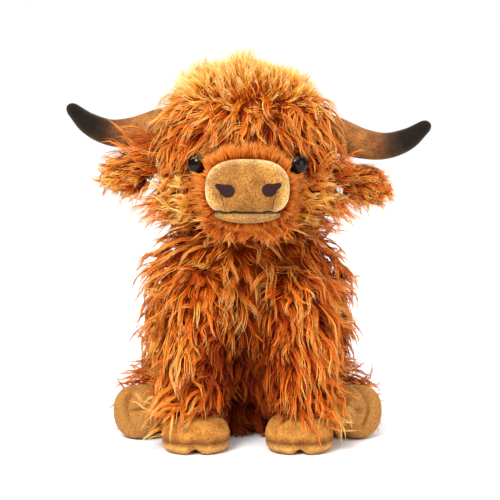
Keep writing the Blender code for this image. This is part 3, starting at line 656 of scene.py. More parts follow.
def headLocks(count, look, where, seed):
    # locks fall from the crown, run outwards over the brow and most of all over the cheeks, where they are
    # brighter; they are short and darkened with painted shade behind the ears and in the middle of the face
    # above the muzzle, painted shade darkens them round the eyes, and painted light from above makes them
    # paler high on the back of the head
    roots, normals = scatter(headForm, count, 0.37)
    x, y, z = axesOf(roots)
    inMuzzle = (np.abs(x) < 33) & (np.abs(z - 197.7) < 24) & (y < -50)
    chosen = where(roots) & ~inMuzzle & (z > 174) & (z < look.get("top", 300))
    roots, normals = chosenOf(chosen, roots, normals)
    x, y, z = axesOf(roots)
    face = held(-y, 15, 55)
    brow, cheek = face * held(z, 228, 240), face * held(z, 228, 220)
    middle = face * bell(x, 30) * held(z, 252, 226)
    outward = vectorsOf(np.sign(x) * np.clip(np.abs(x) / 20, 0, 1), 0, 0)
    ways = down * (1 - 0.55 * cheek)[:, None] + outward * (0.35 + 0.35 * brow + 1.3 * cheek)[:, None]
    ways = ways + 0.6 * swirl(roots, 50, 7)[:, None] * np.cross(normals, down)
    ear = held(np.abs(x), 48, 56) * (z > 196) * held(z, 232, 224)
    fromEye = np.hypot(np.abs(x) - 41, z - 216)
    # painted shade darkens the middle of the face above the muzzle
    tone = look["tone"] + 0.12 * swirl(roots, 45, 3) + 0.4 * cheek - 0.3 * middle - 0.1 * (z < 184)
    # painted shade behind the ears and round the eyes; painted light from above, paler high on the back of
    # the head
    tone = tone - 0.5 * ear - 0.7 * face * bell(fromEye, 10) + 0.32 * held(z, 236, 262) * (1 - face)
    longer = (1 - 0.2 * cheek - 0.35 * middle - 0.45 * ear) * np.where(z > 250, look.get("crown", 1), 1)
    grown = {**look, "longer": longer, "tone": tone,
             "lift": look["lift"] * (1 + 0.3 * cheek), "droop": look["droop"] * (1 - 0.85 * cheek)}
    return growLocks(roots, normals, tangent(ways, normals), grown, seed, (headForm,))


def crownLocks(count, look, seed):
    # fuzz on the top of the head: it stands along the normal, fans outwards and up, and is longest in the
    # middle; its lower edge is spread over 16 mm
    roots, normals = scatter(headForm, count, 0.61)
    edge = 244 + 16 * ((np.arange(count) * 0.618) % 1)
    roots, normals = chosenOf(roots[:, 2] > edge, roots, normals)
    x, y, z = axesOf(roots)
    high = held(z, 246, 270)
    ways = normals + vectorsOf(x / 120, 0, 0.75 * high - 1.3 * (1 - high))
    ways[:, 0] -= 0.25
    ways = unit(ways + 0.3 * swirl(roots, 30, 13)[:, None] * np.cross(normals, (0, 1, 0)))
    tuft = bell(x + 3, 7) * (y < 0)
    slope = 0.32 * np.clip(x - 12, 0, 40) + 0.1 * np.clip(-x - 30, 0, 40)
    room = (292 + 10 * tuft - slope - z) / np.maximum(ways[:, 2], 0.3) / look["length"]
    most = 1 - 0.4 * np.abs(normals[:, 0]) - 0.25 * np.clip(normals[:, 0], 0, 1)
    # painted light from above: the fuzz is paler high on the crown and darker at its lower edge
    tone = look["tone"] - 0.42 * (1 - high) + 0.08 * swirl(roots, 35, 3)
    look = {**look, "longer": np.clip(np.minimum(room, most), 0.3, 1.3), "tone": tone}
    return growLocks(roots, normals, ways, look, seed)


addForm("head_backing", headForm, body="head",
        replaced=("head_gusset", "head_side_left", "head_side_right", "head_stuffing"), fill=0.9)
parts = {
    "forelock_fur": lambda p: p[:, 1] < -38,
    "head_fur_left": lambda p: (p[:, 1] >= -38) & (p[:, 0] >= 0),
    "head_fur_right": lambda p: (p[:, 1] >= -38) & (p[:, 0] < 0),
}
for k, (name, where) in enumerate(parts.items()):
    count = 1300 if name == "forelock_fur" else 1100
    locks = [headLocks(count, headFur, where, 40 + k),
             headLocks(370, {**underFur, "crown": 0.45}, where, 50 + k)]
    addFur(name, locks, "head", clearings)
addFur("crown_fur", [crownLocks(2560, crownFur, 46)], "head")

# the run of a horn; shares are (place along, dip, sweep, taper), and a dip below 0 is a share of the sag
hornRoute = {"rootX": 46, "rise": 242, "span": 139, "sag": 12, "hook": 6, "sweep": 12, "rootRadius": 14.6,
             "tipRadius": 5.2, "roll": 2.8,
             "shares": ((0.0, 0.00, 0.00, 0.0), (0.24, -0.45, 0.05, 0.10), (0.46, -0.92, 0.18, 0.30),
                        (0.66, -0.98, 0.38, 0.47),
                        (0.84, -0.42, 0.66, 0.67), (0.97, 0.85, 0.96, 1.0), (1.01, 1.25, 1.05, 1.05))}


def hornRows(sign, route):
    # out along the run, down by the sag or up by the hook, forward by the sweep, then rolled about the
    # head's middle
    out, dip, sweep, taper = np.array(route["shares"]).T
    x = sign * (route["rootX"] + out * (route["span"] - route["rootX"]))
    z = route["rise"] + dip * np.where(dip < 0, route["sag"], route["hook"])
    y = -8 - sweep * route["sweep"]
    roll, middle = math.radians(route["roll"]), 226
    turnedX = x * math.cos(roll) + (z - middle) * math.sin(roll)
    turnedZ = middle - x * math.sin(roll) + (z - middle) * math.cos(roll)
    radius = route["rootRadius"] + taper * (route["tipRadius"] - route["rootRadius"])
    return np.stack((out, turnedX, y, turnedZ, radius), -1)


def inHorn(sign, hinge=np.zeros(3), lifted=0):
    # a test for points that are in the horn, once they are turned up about the hinge by so many degrees
    rows = hornRows(sign, hornRoute)
    line = smoothRows(rows, np.linspace(rows[0, 0], rows[-1, 0], 40))
    turn = sign * math.radians(lifted)

    def test(paths):
        away = paths - hinge
        x = hinge[0] + away[..., 0] * math.cos(turn) - away[..., 2] * math.sin(turn)
        z = hinge[2] + away[..., 0] * math.sin(turn) + away[..., 2] * math.cos(turn)
        places = np.stack((x, paths[..., 1], z), -1)
        return (np.linalg.norm(places[..., None, :] - line[:, :3], axis=-1) - line[:, 3]).min(axis=-1) < 1

    return test


# fringe: hair from the side of the head that runs out over the ear; on the right it is longer and crosses
# the horn
fringeFur = {
    **headFur, "length": 50, "lift": 0.25, "droop": 0.1, "waveLength": 34, "wave": 3.8, "strands": 9,
    "width": 0.46, "tone": 0.32, "stirred": 0.2,
}
roots, _ = scatter(headForm, 2900, 0.5)
x, y, z = axesOf(roots)
rise = np.where(x < 0, (z - 219) / 11, (z - 209.5) / 8)
chosen = (np.abs(x) > 50) & (np.abs(y + 36) < 10) & (np.abs(rise) < 1)
roots, x, rise = chosenOf(chosen, roots, x, rise)
look = {**fringeFur, "longer": np.where(x < 0, 0.9 + 0.15 * rise, 0.62)}
ways = unit(vectorsOf(np.sign(x), -0.06, 0.06 + 0.08 * rise))
fringe = growLocks(roots, np.broadcast_to(forward, roots.shape), ways, look, 68)
# jowls: hair below the ears that falls outwards over the shoulders
roots, _ = scatter(headForm, 1400, 0.8)
x, y, z = axesOf(roots)
roots = roots[(np.abs(x) > 46) & (np.abs(y + 28) < 20) & (np.abs(z - 190) < 10)]
look = {**fringeFur, "length": 38, "droop": 0.35, "tone": 0.5}
ways = unit(vectorsOf(np.sign(roots[:, 0]), -0.1, -0.55))
jowls = growLocks(roots, np.broadcast_to(forward, roots.shape), ways, look, 69)
addFur("fringe_fur", [fringe, jowls], "head", (inHorn(1), inHorn(-1)))

# muzzle sleeve: short bright pile that stands out round the pad
sleeveFur = {
    "length": 9.5, "lift": 1.3, "droop": 0.0, "waveLength": 14, "wave": 0.5, "spread": 2.0, "strands": 7,
    "width": 0.44, "tone": 0.42, "toneVary": 0.1, "stirred": 0.35, "clump": 0.4, "steps": 4,
    "ripple": 0.2, "stray": 0.3,
}
beardFur = {
    "length": 34, "lift": 0.5, "droop": 0.9, "waveLength": 24, "wave": 3.0, "spread": 2.4, "strands": 11,
    "width": 0.6, "tone": 0.42, "toneVary": 0.14, "stirred": 0.4, "steps": 6,
}
addForm("muzzle_backing", sleeveForm, material=shortBacking, body="head", slot="short_pile_fur",
        replaced=("muzzle_sleeve",), fill=0.9)
roots, normals = scatter(sleeveForm, 1800, shift=0.2)
chosen = (roots[:, 1] < -64) & (roots[:, 1] > -108)
roots, normals = chosenOf(chosen, roots, normals)
ways = np.array((0, 0.5, 0.1)) + 0.9 * normals
longer = 0.8 + 0.4 * np.clip(normals[:, 2], 0, 1) + 1.3 * held(roots[:, 1], -94, -68) * (normals[:, 2] < 0.6)
addFur("muzzle_fur", [growLocks(roots, normals, unit(ways), {**sleeveFur, "longer": longer}, 61)], "head",
       clearings, shortPile, "short_pile_fur")
under = (normals[:, 2] < -0.55) & (roots[:, 1] < -76)
roots, normals = roots[under][::2], normals[under][::2]
ways = down + vectorsOf(0.03 * roots[:, 0], 0.2, 0)
addFur("beard_fur", [growLocks(roots, normals, tangent(ways + 0.3 * normals, normals), beardFur, 63)],
       "head", (overPad,))

# collar: the stuffed neck under the hair of the head and the shoulders
neckForm = newForm(
    ((0, 0, -8, 126, 20, 20), (12, 0, -8, 138, 34, 34), (27, 0, -8, 153, 41, 41),
     (40, 0, -8, 166, 42.5, 42.5), (54, 0, -8, 180, 40, 40), (66, 0, -8, 192, 33, 33)),
    caps=(0.2, 0.2),
)
addForm("neck_backing", neckForm, body="neck", replaced=("neck",), fill=0.8)
roots, normals = scatter(neckForm, 450, shift=0.4)
chosen = (roots[:, 2] > 146) & (roots[:, 2] < 188) & (roots[:, 1] > -30)
roots, normals = chosenOf(chosen, roots, normals)
ways = tangent(down + 0.2 * normals, normals)
long = (roots[:, 2] < 178) & (np.arange(len(roots)) % 5 < 3)
locks = [growLocks(roots[long], normals[long], ways[long],
                   {**headFur, "lift": 1.5, "length": 42, "tone": 0.46, "steps": 7}, 66),
         growLocks(roots, normals, ways, {**underFur, "tone": 0.34, "length": 18}, 67)]
addFur("neck_fur", locks, "neck", (overShoulders,))
print("head ready")

# legs
legFur = {
    "length": 42, "lift": 0.9, "droop": 0.8, "waveLength": 25, "wave": 3.0, "spread": 2.1, "strands": 11,
    "width": 0.52, "tone": 0.48, "toneVary": 0.11, "stirred": 0.45, "stray": 0.16, "steps": 7,
    "upright": 1,
}
legUnder = {**underFur, "tone": 0.2, "upright": 1}


def legLocks(form, count, look, flow, heights, seed, forms=()):
    # the lowest locks of a foreleg fan outwards over the hoof; the side towards the other leg is shorter,
    # and painted shade darkens it
    roots, normals = scatter(form, count, shift=0.07 * (seed % 9))
    chosen = (roots[:, 2] > heights[0]) & (roots[:, 2] < heights[1])
    roots, normals = chosenOf(chosen, roots, normals)
    z, sign, upright = roots[:, 2], np.sign(roots[:, 0].mean()), look.get("upright", 0)
    low = upright * held(z, 58, 28)
    inner = upright * np.clip(-sign * normals[:, 0] * 1.6 - 0.1, 0, 1)
    outer = low * np.clip(sign * normals[:, 0] + 0.45, 0, 1)
    stir = 0.4 * swirl(roots, 40, seed)[:, None] * np.cross(normals, down)
    ways = np.array(flow) + vectorsOf(1.5 * sign * outer, 0, 0.5 * outer) + stir
    grown = {**look, "longer": 1 - 0.5 * low * (1 - 0.8 * outer) - 0.35 * inner,
             # painted shade darkens the inner side, fading out towards the top of the leg
             "tone": look["tone"] - 0.5 * inner * held(z, 120, 80) + 0.2 * outer + 0.1 * swirl(roots, 35, 4),
             "lift": look["lift"] * (1 + 0.6 * low - 0.5 * inner), "droop": look["droop"] * (1 - 0.4 * low)}
    return growLocks(roots, normals, tangent(ways, normals), grown, seed, forms)


for side, sign in sides:
    leg = onSide(forelegForm, sign)
    addForm(f"foreleg_backing_{side}", leg, body=f"foreleg_{side}", replaced=(f"foreleg_{side}",), fill=0.8)
    heights = (22, 134)
    locks = legLocks(leg, 340, legFur, (0.3 * sign, -0.2, -1), heights, 70 + sign, (leg,))
    addFur(f"foreleg_fur_{side}", [locks, legLocks(leg, 105, legUnder, (0, 0, -1), heights, 72 + sign)],
           f"foreleg_{side}", clearings)
    leg = onSide(hindlegForm, sign)
    addForm(f"hindleg_backing_{side}", leg, body=f"hindleg_{side}", replaced=(f"hindleg_{side}",), fill=0.8)
    out = (sign * 1.0, -0.4, 0.05)
    look = {**legFur, "length": 38, "tone": 0.3, "droop": 0.15, "lift": 0.9, "strands": 10, "upright": 0}
    heights = (4, 100)
    locks = legLocks(leg, 240, look, out, heights, 80 + sign)
    addFur(f"hindleg_fur_{side}",
           [locks, legLocks(leg, 75, {**underFur, "length": 16, "tone": 0.15}, out, heights, 82 + sign)],
           f"hindleg_{side}", clearings)

# tail: a short plush tail that hangs behind the rump and ends in a tuft
tailForm = newForm(
    ((0, 0, 93, 61, 5, 5), (6, 0, 97.5, 59, 5.4, 5.4), (14, 0, 103.5, 54, 5.4, 5.4),
     (22, 0, 108, 46.5, 5.2, 5.2), (30, 0, 109.6, 38.5, 5, 5)),
    front=(0, -0.7, -0.7), caps=(0.1, 0.1),
)
tuftForm = newForm(
    ((0, 0, 109.6, 37.5, 4.5, 4.5), (10, 0, 109.6, 28, 6.5, 6.5), (20, 0, 109.6, 18, 7, 7),
     (30, 0, 109.6, 8, 4.5, 4.5)),
    front=(0, 1, 0), caps=(0.2, 0.3),
)
for name, form, count, length in (("tail", tailForm, 60, 16), ("tail_tuft", tuftForm, 70, 22)):
    addForm(f"{name}_backing", form, rows=30, columns=30, body="tail", replaced=(name,), fill=0.7)
    roots, normals = scatter(form, count, shift=0.2)
    locks = growLocks(roots, normals, tangent(down + 0.2 * normals, normals),
                      {**legFur, "length": length, "lift": 0.5, "steps": 6, "tone": 0.6}, 95)
    addFur(f"{name}_fur", [locks], "tail")
print("legs and tail ready")

# ears: a leaf that droops from the side of the head, dark inside, with a long fringe; painted shade makes
# the lining and its fur darker still towards the head
hingeLeft, hingeRight = np.array((66.64, -8, 204.72)), np.array((-68.4, -8, 211.32))
earFur = {
    "length": 14, "lift": 0.5, "droop": 0.2, "waveLength": 22, "wave": 2.6, "spread": 2.2, "strands": 9,
    "width": 0.55, "tone": 0.38, "toneVary": 0.18, "stirred": 0.5, "stray": 0.2, "steps": 6,
}
earWisps = {
    **earFur, "length": 21, "lift": 0.3, "droop": 0.5, "wave": 3.2, "strands": 4, "spread": 1.2,
    "width": 0.42, "tone": 0.62,
}
earShares = ((-7, 4.5, 4.5), (-2, 6.5, 6.5), (5, 6.3, 5.8), (11, 7.5, 5), (18, 14, 5.2), (27, 15.4, 5.2),
             (36, 11.5, 4.4), (43, 5.5, 3), (46, 2, 1.5))


def earForm(hinge, out):
    out = np.array(out)
    rows = [(t, *(hinge + t * out), wide, thick) for t, wide, thick in earShares]
    return newForm(rows, (0.04, 0.04), side=np.cross((0, 1, 0), out), inset=0.4)


# the lining's own dark colour, near black towards the head where painted shade is added, tan at the tip
lining = furMaterial("ear lining plush",
                     ((0, "#240804"), (0.42, "#3A1006"), (0.62, "#8A4416"), (1, "#C08038")),
                     rough=0.85)
for side, sign, hinge, out in (("left", 1, hingeLeft, (0.915, 0, -0.4036)),
                               ("right", -1, hingeRight, (-0.95, 0, -0.3124))):
    form = earForm(hinge, out)
    addForm(f"ear_backing_{side}", form, rows=40, columns=40, material=lining, body=f"ear_{side}",
            slot="ear_lining", replaced=(f"ear_{side}", f"ear_lining_{side}"), fill=0.6)
    roots, normals = scatter(form, 230, shift=0.3)
    travel = (roots - hinge) @ np.array(out)
    every = np.arange(len(roots))
    inner = (normals[:, 1] < -0.55) & (travel > 1) & (travel < 19) & (every % 6 > 0)
    thinned = (normals[:, 2] < -0.5) & (every % 2 == 0)
    chosen = (travel > 0) & ~inner & ~thinned
    roots, normals, travel = chosenOf(chosen, roots, normals, travel)
    up = normals[:, 2]
    stir = 0.4 * swirl(roots, 30, 2)[:, None] * np.cross(normals, down)
    ways = np.array(out) + vectorsOf(0, 0, 0.35 * up + 0.5 * np.clip(up, 0, 1)) + stir
    longer = np.where((normals[:, 2] > 0.3) & (travel < 26), 1.5, 0.8)
    # painted shade: the ear's fur is darker towards the head and paler out towards the tip
    tone = earFur["tone"] + 0.25 * np.clip(travel / 40, 0, 1)
    locks = growLocks(roots, normals, tangent(ways, normals), {**earFur, "longer": longer, "tone": tone},
                      90 + len(side))
    rim = (normals[:, 2] < -0.3) & (travel > 8) & (travel < 34)
    roots, normals = roots[rim][::2], normals[rim][::2]
    wisps = growLocks(roots, normals, tangent(np.array(out) * 0.6 + down + 0 * normals, normals), earWisps,
                      94 + len(side))
    addFur(f"ear_fur_{side}", [locks, wisps], f"ear_{side}", (inHorn(sign, hinge, 10),))
print("ears ready")


# horns: a short plush tube that sags, sweeps forward and hooks up, sandy at the head and almost black at
# the tip
def tubeMesh(rows, steps=64, columns=40, caps=(0.05, 0.05)):
    # a round tube along a smooth line of (place, x, y, z, radius): side is the cross of the line's way and
    # the toy's depth; both ends close as a quarter circle
    v = rowPlaces(steps)
    line = smoothRows(rows, rows[0, 0] + v * (rows[-1, 0] - rows[0, 0]))
    along = unit(np.gradient(line[:, :3], axis=0))
    side = unit(np.cross(along, (0, 1, 0)))
    turn = (2 * np.pi * np.arange(columns) / columns)[None, :, None]
    ring = np.cos(turn) * side[:, None, :] + np.sin(turn) * np.cross(along, side)[:, None, :]
    points = line[:, None, :3] + (line[:, 3] * closeEnds(v, caps))[:, None, None] * ring
    points = np.concatenate((points.reshape(-1, 3), smoothRows(rows, rows[[0, -1], 0])[:, :3]))
    return points, *gridFaces(steps, columns), gridMap(columns, v)


def addBump(tree, shader, height, depth, strength):
    # depth in mm
    normal = node(tree, "Bump", {"Height": height, "Distance": depth * mm, "Strength": strength}, "Normal")
    tree.links.new(normal, shader["Normal"])


def shortPlush(name, stops, speckle, patch=9, feed=None, grain=1150):
    # velvety short pile: fine speckle of dark gaps between the fibres over slow patches of so many mm, with
    # a soft sheen; feed is what the colours follow, and else they follow the patches
    material, tree, shader = newMaterial(name, 0.85, 0.2, sheen=0.18, sheenTint="#FFD08A")
    place = node(tree, "TexCoord", out="Object")
    fine = node(tree, "TexNoise", {"Vector": place, "Scale": grain, "Detail": 3, "Roughness": 0.7})
    slow = node(tree, "TexNoise", {"Vector": place, "Scale": 1000 / patch, "Detail": 4, "Roughness": 0.6})
    base = node(tree, "ValToRGB", {0: feed(tree) if feed else slow}, stops=stops)
    multiply = {"data_type": "RGBA", "blend_type": "MULTIPLY"}
    share = node(tree, "MapRange", {0: slow, 1: 0.35, 2: 0.65, 4: 0.55})
    colour = node(tree, "Mix", {0: share, 6: base, 7: rgba(speckle)}, 2, **multiply)
    share = node(tree, "MapRange", {0: fine, 1: 0.36, 2: 0.58, 3: 0.8, 4: 0})
    colour = node(tree, "Mix", {0: share, 6: colour, 7: rgba(speckle)}, 2, **multiply)
    tree.links.new(colour, shader["Base Color"])
    addBump(tree, shader, fine, 0.4, 0.8)
    return material


def alongV(tree):
    # how far along the piece, from its own map
    return node(tree, "SeparateXYZ", {0: node(tree, "UVMap", uv_map="OFBake")}, "Y")


hornPlush = shortPlush("horn velour", ((0, "#A05E2C"), (0.42, "#BA7C40"), (0.58, "#905C2E"), (0.7, "#48301E"),
                                       (0.8, "#1A120D"), (1, "#0C0908")), "#7A5434", feed=alongV)
for side, sign in sides:
    addPiece(f"horn_plush_{side}", tubeMesh(hornRows(sign, hornRoute)), hornPlush, "head", "horn_plush",
             (f"horn_{side}",), 0.9)
print("horns ready")


# hooves: tan plush with two toes
def riseOf(tree):
    # height above the floor, from 0 at the sole to 1 at 50 mm
    height = node(tree, "SeparateXYZ", {0: node(tree, "TexCoord", out="Object")}, "Z")
    return node(tree, "MapRange", {0: height, 1: 0, 2: 0.05})


forePlush = shortPlush("tan fore hoof velour",
                       ((0, "#C48030"), (0.1, "#EEB864"), (0.155, "#BA8038"), (0.185, "#8A5420"),
                        (0.215, "#A66A28"), (0.3, "#DC9A42"), (0.7, "#B0702A")),
                       "#8C5C26", feed=riseOf)
hindPlush = shortPlush("tan hind hoof velour", ((0.3, "#AC722E"), (0.7, "#E2AA5A")), "#8C5C26")


def foreCleft(points):
    # the front is pressed in along the middle and the sole lifts there, as between two toes
    x = points[:, 0] - np.sign(points[:, 0]) * 39
    front = np.clip((-points[:, 1] - 78) / 18, 0, 1)
    press = bell(x, 3.4) * front
    low = np.clip(1 - points[:, 2] / 26, 0, 1)
    points = points.copy()
    points[:, 1] += 5 * press * low
    points[:, 2] += 3 * bell(x, 4.2) * front * np.clip(1 - points[:, 2] / 9, 0, 1)
    seam = bell(points[:, 2] - 9.5, 1.3)
    centre = np.stack((points[:, 0] - x, 0 * x - 77.5), -1)
    points[:, :2] -= 0.7 * seam[:, None] * unit(points[:, :2] - centre)
    return points


foreHoofForm = newForm(
    ((0, 39, -77.5, 0.2, 20.5, 19.5), (3, 39, -77.6, 3, 24, 22.5), (8, 39, -77.8, 8, 25.6, 24),
     (14, 39, -78, 14, 25.6, 23.8), (20, 39, -78.2, 20, 23.6, 22), (26, 39, -79, 26, 19, 18),
     (31, 39, -79.6, 31, 12, 12)),
    caps=(0.015, 0.2), power=0.9, shape=foreCleft,
)


def hindCleft(points):
    # the sole has a groove from its top to its middle, and its top edge dips there
    x, y, rise = axesOf(points)
    sign = np.sign(x)
    out = vectorsOf(sign * hindOut[0], hindOut[1], 0)
    travel = (x - sign * hip[0]) * out[:, 0] + (y - hip[1]) * out[:, 1]
    aside = ((x - sign * hip[0]) * hindAcross[0] + (y - hip[1]) * (sign * hindAcross[1])) * sign
    front = held(travel, 58, 68)
    bend = -2.5 + 5.5 * np.sin(np.pi * held(rise, 10, 44))
    first = bell(aside - bend, 1.9) * held(rise, 7, 17)
    second = bell(rise - 23 + 0.15 * aside, 1.7) * np.clip((-aside - 1) / 4, 0, 1)
    groove = np.maximum(first, 0.6 * second) * front
    points = points - out * (6 * groove)[:, None]
    points[:, 2] -= 5 * bell(aside, 4.5) * front * held(points[:, 2], 26, 40)
    return points


hindHoofForm = newForm(
    [hindRow(46, 20, 11, 13), hindRow(50, 20.3, 14.5, 16.5), hindRow(57, 20.8, 17.6, 19.4),
     hindRow(65, 21, 18.9, 20.6), hindRow(72, 21, 18.3, 20.2), hindRow(77, 21, 14.5, 16.5),
     hindRow(79, 21, 9, 11)],
    side=hindAcross, front=(0, 0, 1), caps=(0.1, 0.1), power=0.92, shape=hindCleft,
)
for side, sign in sides:
    for name, form, plush in (("fore", foreHoofForm, forePlush), ("hind", hindHoofForm, hindPlush)):
        form = onSide(form, sign)
        addForm(f"{name}_hoof_plush_{side}", form, rows=50, columns=80, material=plush,
                body=f"{name}leg_{side}", slot="tan_plush", replaced=(f"{name}_hoof_{side}",), fill=0.9)
print("hooves ready")

# nose pad: a pillow of tan plush with rounded corners, narrower at its top, with a pressed line above the lip
padLook = {"middle": 201.4, "halfWidth": 30.4, "halfHeight": 20.2, "front": -124.6, "back": -104,
           "mouth": 183.6, "topShare": 0.17}
# (x, z, x, z): from beside each nostril down to the mouth
dartLines = ((-20.6, 202.5, -15.6, 184.4), (21.0, 200.5, 17.6, 185.4))


def padShape(points):
    # the width shrinks with the square of the height, the mouth line is pressed in, and so is a shallow
    # valley between the nostrils
    points = points.copy()
    height = (points[:, 2] - padLook["middle"]) / padLook["halfHeight"]
    points[:, 0] *= 1 - padLook["topShare"] * np.clip(height, 0, 1) ** 2 - 0.05 * np.clip(-height, 0, 1) ** 2
    face = np.clip((-points[:, 1] - 108) / 10, 0, 1)
    line = mouthHeight(points[:, 0])
    points[:, 1] += face * (1.5 * bell(points[:, 2] - line, 1.2) + 0.8 * bell(points[:, 0], 4)
                            * (height > -0.6))
    for x0, z0, x1, z1 in dartLines:
        along = np.clip((points[:, 2] - z1) / (z0 - z1), 0, 1)
        off = points[:, 0] - (x1 + (x0 - x1) * along)
        inside = np.clip((points[:, 2] - z1 + 1) / 2, 0, 1) * np.clip((z0 + 1 - points[:, 2]) / 2, 0, 1)
        points[:, 1] += 1.0 * face * inside * bell(off, 0.9)
    return points


def mouthHeight(x):
    # a level line that turns up at both ends, with small waves where the stitches pull
    ends = 0.0035 * np.maximum(np.abs(x) - 12, 0) ** 2
    return padLook["mouth"] + 0.7 * np.sin(x / 1.9) * (np.abs(x) > 5) + ends


padForm = newForm(
    [(t, 0, padLook["back"] + t * (padLook["front"] - padLook["back"]), padLook["middle"],
      padLook["halfWidth"] * w, padLook["halfHeight"] * w)
     for t, w in ((0, 0.93), (0.3, 1.0), (0.55, 1.0), (1, 0.94))],
    front=(0, 0, 1), caps=(0.2, 0.55), power=0.62, shape=padShape,
)
# painted sheen highlight: the pale cream band round the rim of the pad's face; its middle is darker golden
nosePlush = shortPlush("nose pad velour",
                       ((0.3, "#EEC07A"), (0.55, "#FFDEA4"), (0.66, "#EAB86C"), (0.8, "#C48A40"),
                        (1, "#B47A34")), "#7A4E20", patch=14, feed=alongV, grain=950)
lipPlush = shortPlush("lower lip velour", ((0.3, "#B47E38"), (0.7, "#D2A466")), "#7A4E20", grain=950)
piece = addForm("nose_pad_plush", padForm, rows=104, columns=130, material=nosePlush, body="head",
                slot="nose_plush", replaced=("nose_pad",), fill=0.9)
padPoints = np.array([v.co for v in piece.data.vertices]) / mm
padPoints = padPoints[padPoints[:, 1] < -109]


def onPad(x, z):
    # depth of the pad's face at (x, z): the mean of the four nearest points of its grid
    far = (padPoints[None, :, 0] - x[:, None]) ** 2 + (padPoints[None, :, 2] - z[:, None]) ** 2
    return padPoints[np.argsort(far, axis=1)[:, :4], 1].mean(axis=1)


lipForm = newForm(
    [(t, 0, -103 - 19.2 * t, 179.2 + 0.4 * t, 23.5 * w, 3.9 * w)
     for t, w in ((0, 0.9), (0.4, 1.0), (0.7, 1.0), (1, 0.9))],
    front=(0, 0, 1), caps=(0.2, 0.45), power=0.8,
    shape=lambda points: points + vectorsOf(0, 0.006 * points[:, 0] ** 2, 0.0035 * points[:, 0] ** 2),
)
addForm("lower_lip_plush", lipForm, rows=50, columns=100, material=lipPlush, body="head",
        slot="nose_plush", replaced=("lower_lip",), fill=0.8)


def threadMaterial(name, deep, bright, rough=0.55):
    # embroidery: a soft shine broken across by fine threads that follow the piece's own map
    material, tree, shader = newMaterial(name, rough, 0.25)
    turn = node(tree, "SeparateXYZ", {0: node(tree, "UVMap", uv_map="OFBake")})
    threads = node(tree, "Math", {0: turn, 1: 150.0}, operation="MULTIPLY")
    height = node(tree, "Math", {0: threads}, operation="SINE")
    share = node(tree, "MapRange", {0: height, 1: -1, 2: 1})
    tree.links.new(node(tree, "ValToRGB", {0: share}, stops=((0, deep), (1, bright))), shader["Base Color"])
    addBump(tree, shader, height, 0.12, 0.7)
    return material


stitchThread = threadMaterial("dark stitching thread", "#1E0D08", "#4A2A1A")
nostrilThread = threadMaterial("maroon satin stitch", "#1C0505", "#360F0D", rough=0.75)


def addThread(name, x, z, radius, lift=0.2, steps=160):
    # a thin tube that follows a line over the pad's face, thicker and thinner as each stitch goes in and out
    path = np.stack((x, onPad(x, z) - lift, z), -1)
    path[:, 1] = np.convolve(np.pad(path[:, 1], 4, mode="edge"), np.ones(9) / 9, mode="valid")
    stitches = np.sin(np.linspace(0, 14 * np.pi, len(x))) ** 2
    rows = np.column_stack((np.linspace(0, 1, len(x)), path, radius * (0.8 + 0.3 * stitches)))
    addPiece(name, tubeMesh(rows, steps, 10, (0.01, 0.01)), stitchThread, "head", "embroidery")


mouthX = np.linspace(-24.5, 24.5, 90)
addThread("mouth_stitch", mouthX, mouthHeight(mouthX), 0.75, lift=0.9)
for name, (x0, z0, x1, z1) in zip(("dart_stitch_right", "dart_stitch_left"), dartLines):
    addThread(name, np.linspace(x0, x1, 40), np.linspace(z0, z1, 40), 0.34, lift=-0.15, steps=60)

nostrilLook = {"halfWidth": 5.3, "halfHeight": 4.9, "point": 4.8, "thickness": 0.9}


def nostrilPatch(x0, z0, sign, look):
    # a satin-stitch teardrop: its radius grows by a high power of the cosine towards its outer upper point
    rows, columns = 26, 96
    turn = 2 * np.pi * np.arange(columns) / columns
    toPoint = math.radians(152 if sign < 0 else 28)
    reach = 1 + look["point"] / look["halfWidth"] * np.clip(np.cos(turn - toPoint), 0, 1) ** 14
    rho = np.sin(np.linspace(0.06, 1, rows) * np.pi / 2)
    x = x0 + (look["halfWidth"] * reach * np.cos(turn))[None, :] * rho[:, None]
    z = z0 + (look["halfHeight"] * reach * np.sin(turn))[None, :] * rho[:, None]
    high = look["thickness"] * np.sqrt(1 - rho[:, None] ** 4) * np.ones(columns) - 0.15
    y = onPad(x.ravel(), z.ravel()).reshape(x.shape) - high
    points = np.stack((x, y, z), -1).reshape(-1, 3)
    pole = np.array(((x0, y[0].mean(), z0), (x0, y.max() + 1.2, z0)))
    points = np.concatenate((points, pole))
    uv = np.stack(((points[:, 0] - x0 + 0.5 * (points[:, 2] - z0) * sign + 12) / 24,
                   (points[:, 2] - z0 + 12) / 24), -1)
    return points, *gridFaces(rows, columns, -1), uv


for side, sign, x0, z0 in (("left", 1, 15.6, 200.2), ("right", -1, -14.2, 199.6)):
    addPiece(f"nostril_stitch_{side}", nostrilPatch(x0, z0, sign, nostrilLook), nostrilThread, "head",
             "embroidery", (f"nostril_{side}",))
print("muzzle ready")


# safety eyes: a glossy dome with a brown iris under it and a dark rim
eyeLook = {"x": 38.3, "y": -75.9, "z": 215.5, "azimuth": 34, "radius": 8, "dome": 6.4, "rim": 1.2}
eyeGloss, tree, shader = newMaterial("glossy moulded eye", 0.06, 0.2)
iris = node(tree, "ValToRGB", {0: alongV(tree)}, stops=(
    (0, "#050302"), (0.30, "#0A0503"), (0.36, "#2E1608"), (0.62, "#1C0D06"), (0.8, "#070403"),
    (1, "#030202")))
cloud = node(tree, "TexNoise", {"Vector": node(tree, "TexCoord", out="Object"), "Scale": 900, "Detail": 2})
share = node(tree, "MapRange", {0: cloud, 1: 0.4, 2: 0.6, 4: 0.5})
iris = node(tree, "Mix", {0: share, 6: iris, 7: rgba("#100806")}, 2, data_type="RGBA")
tree.links.new(iris, shader["Base Color"])


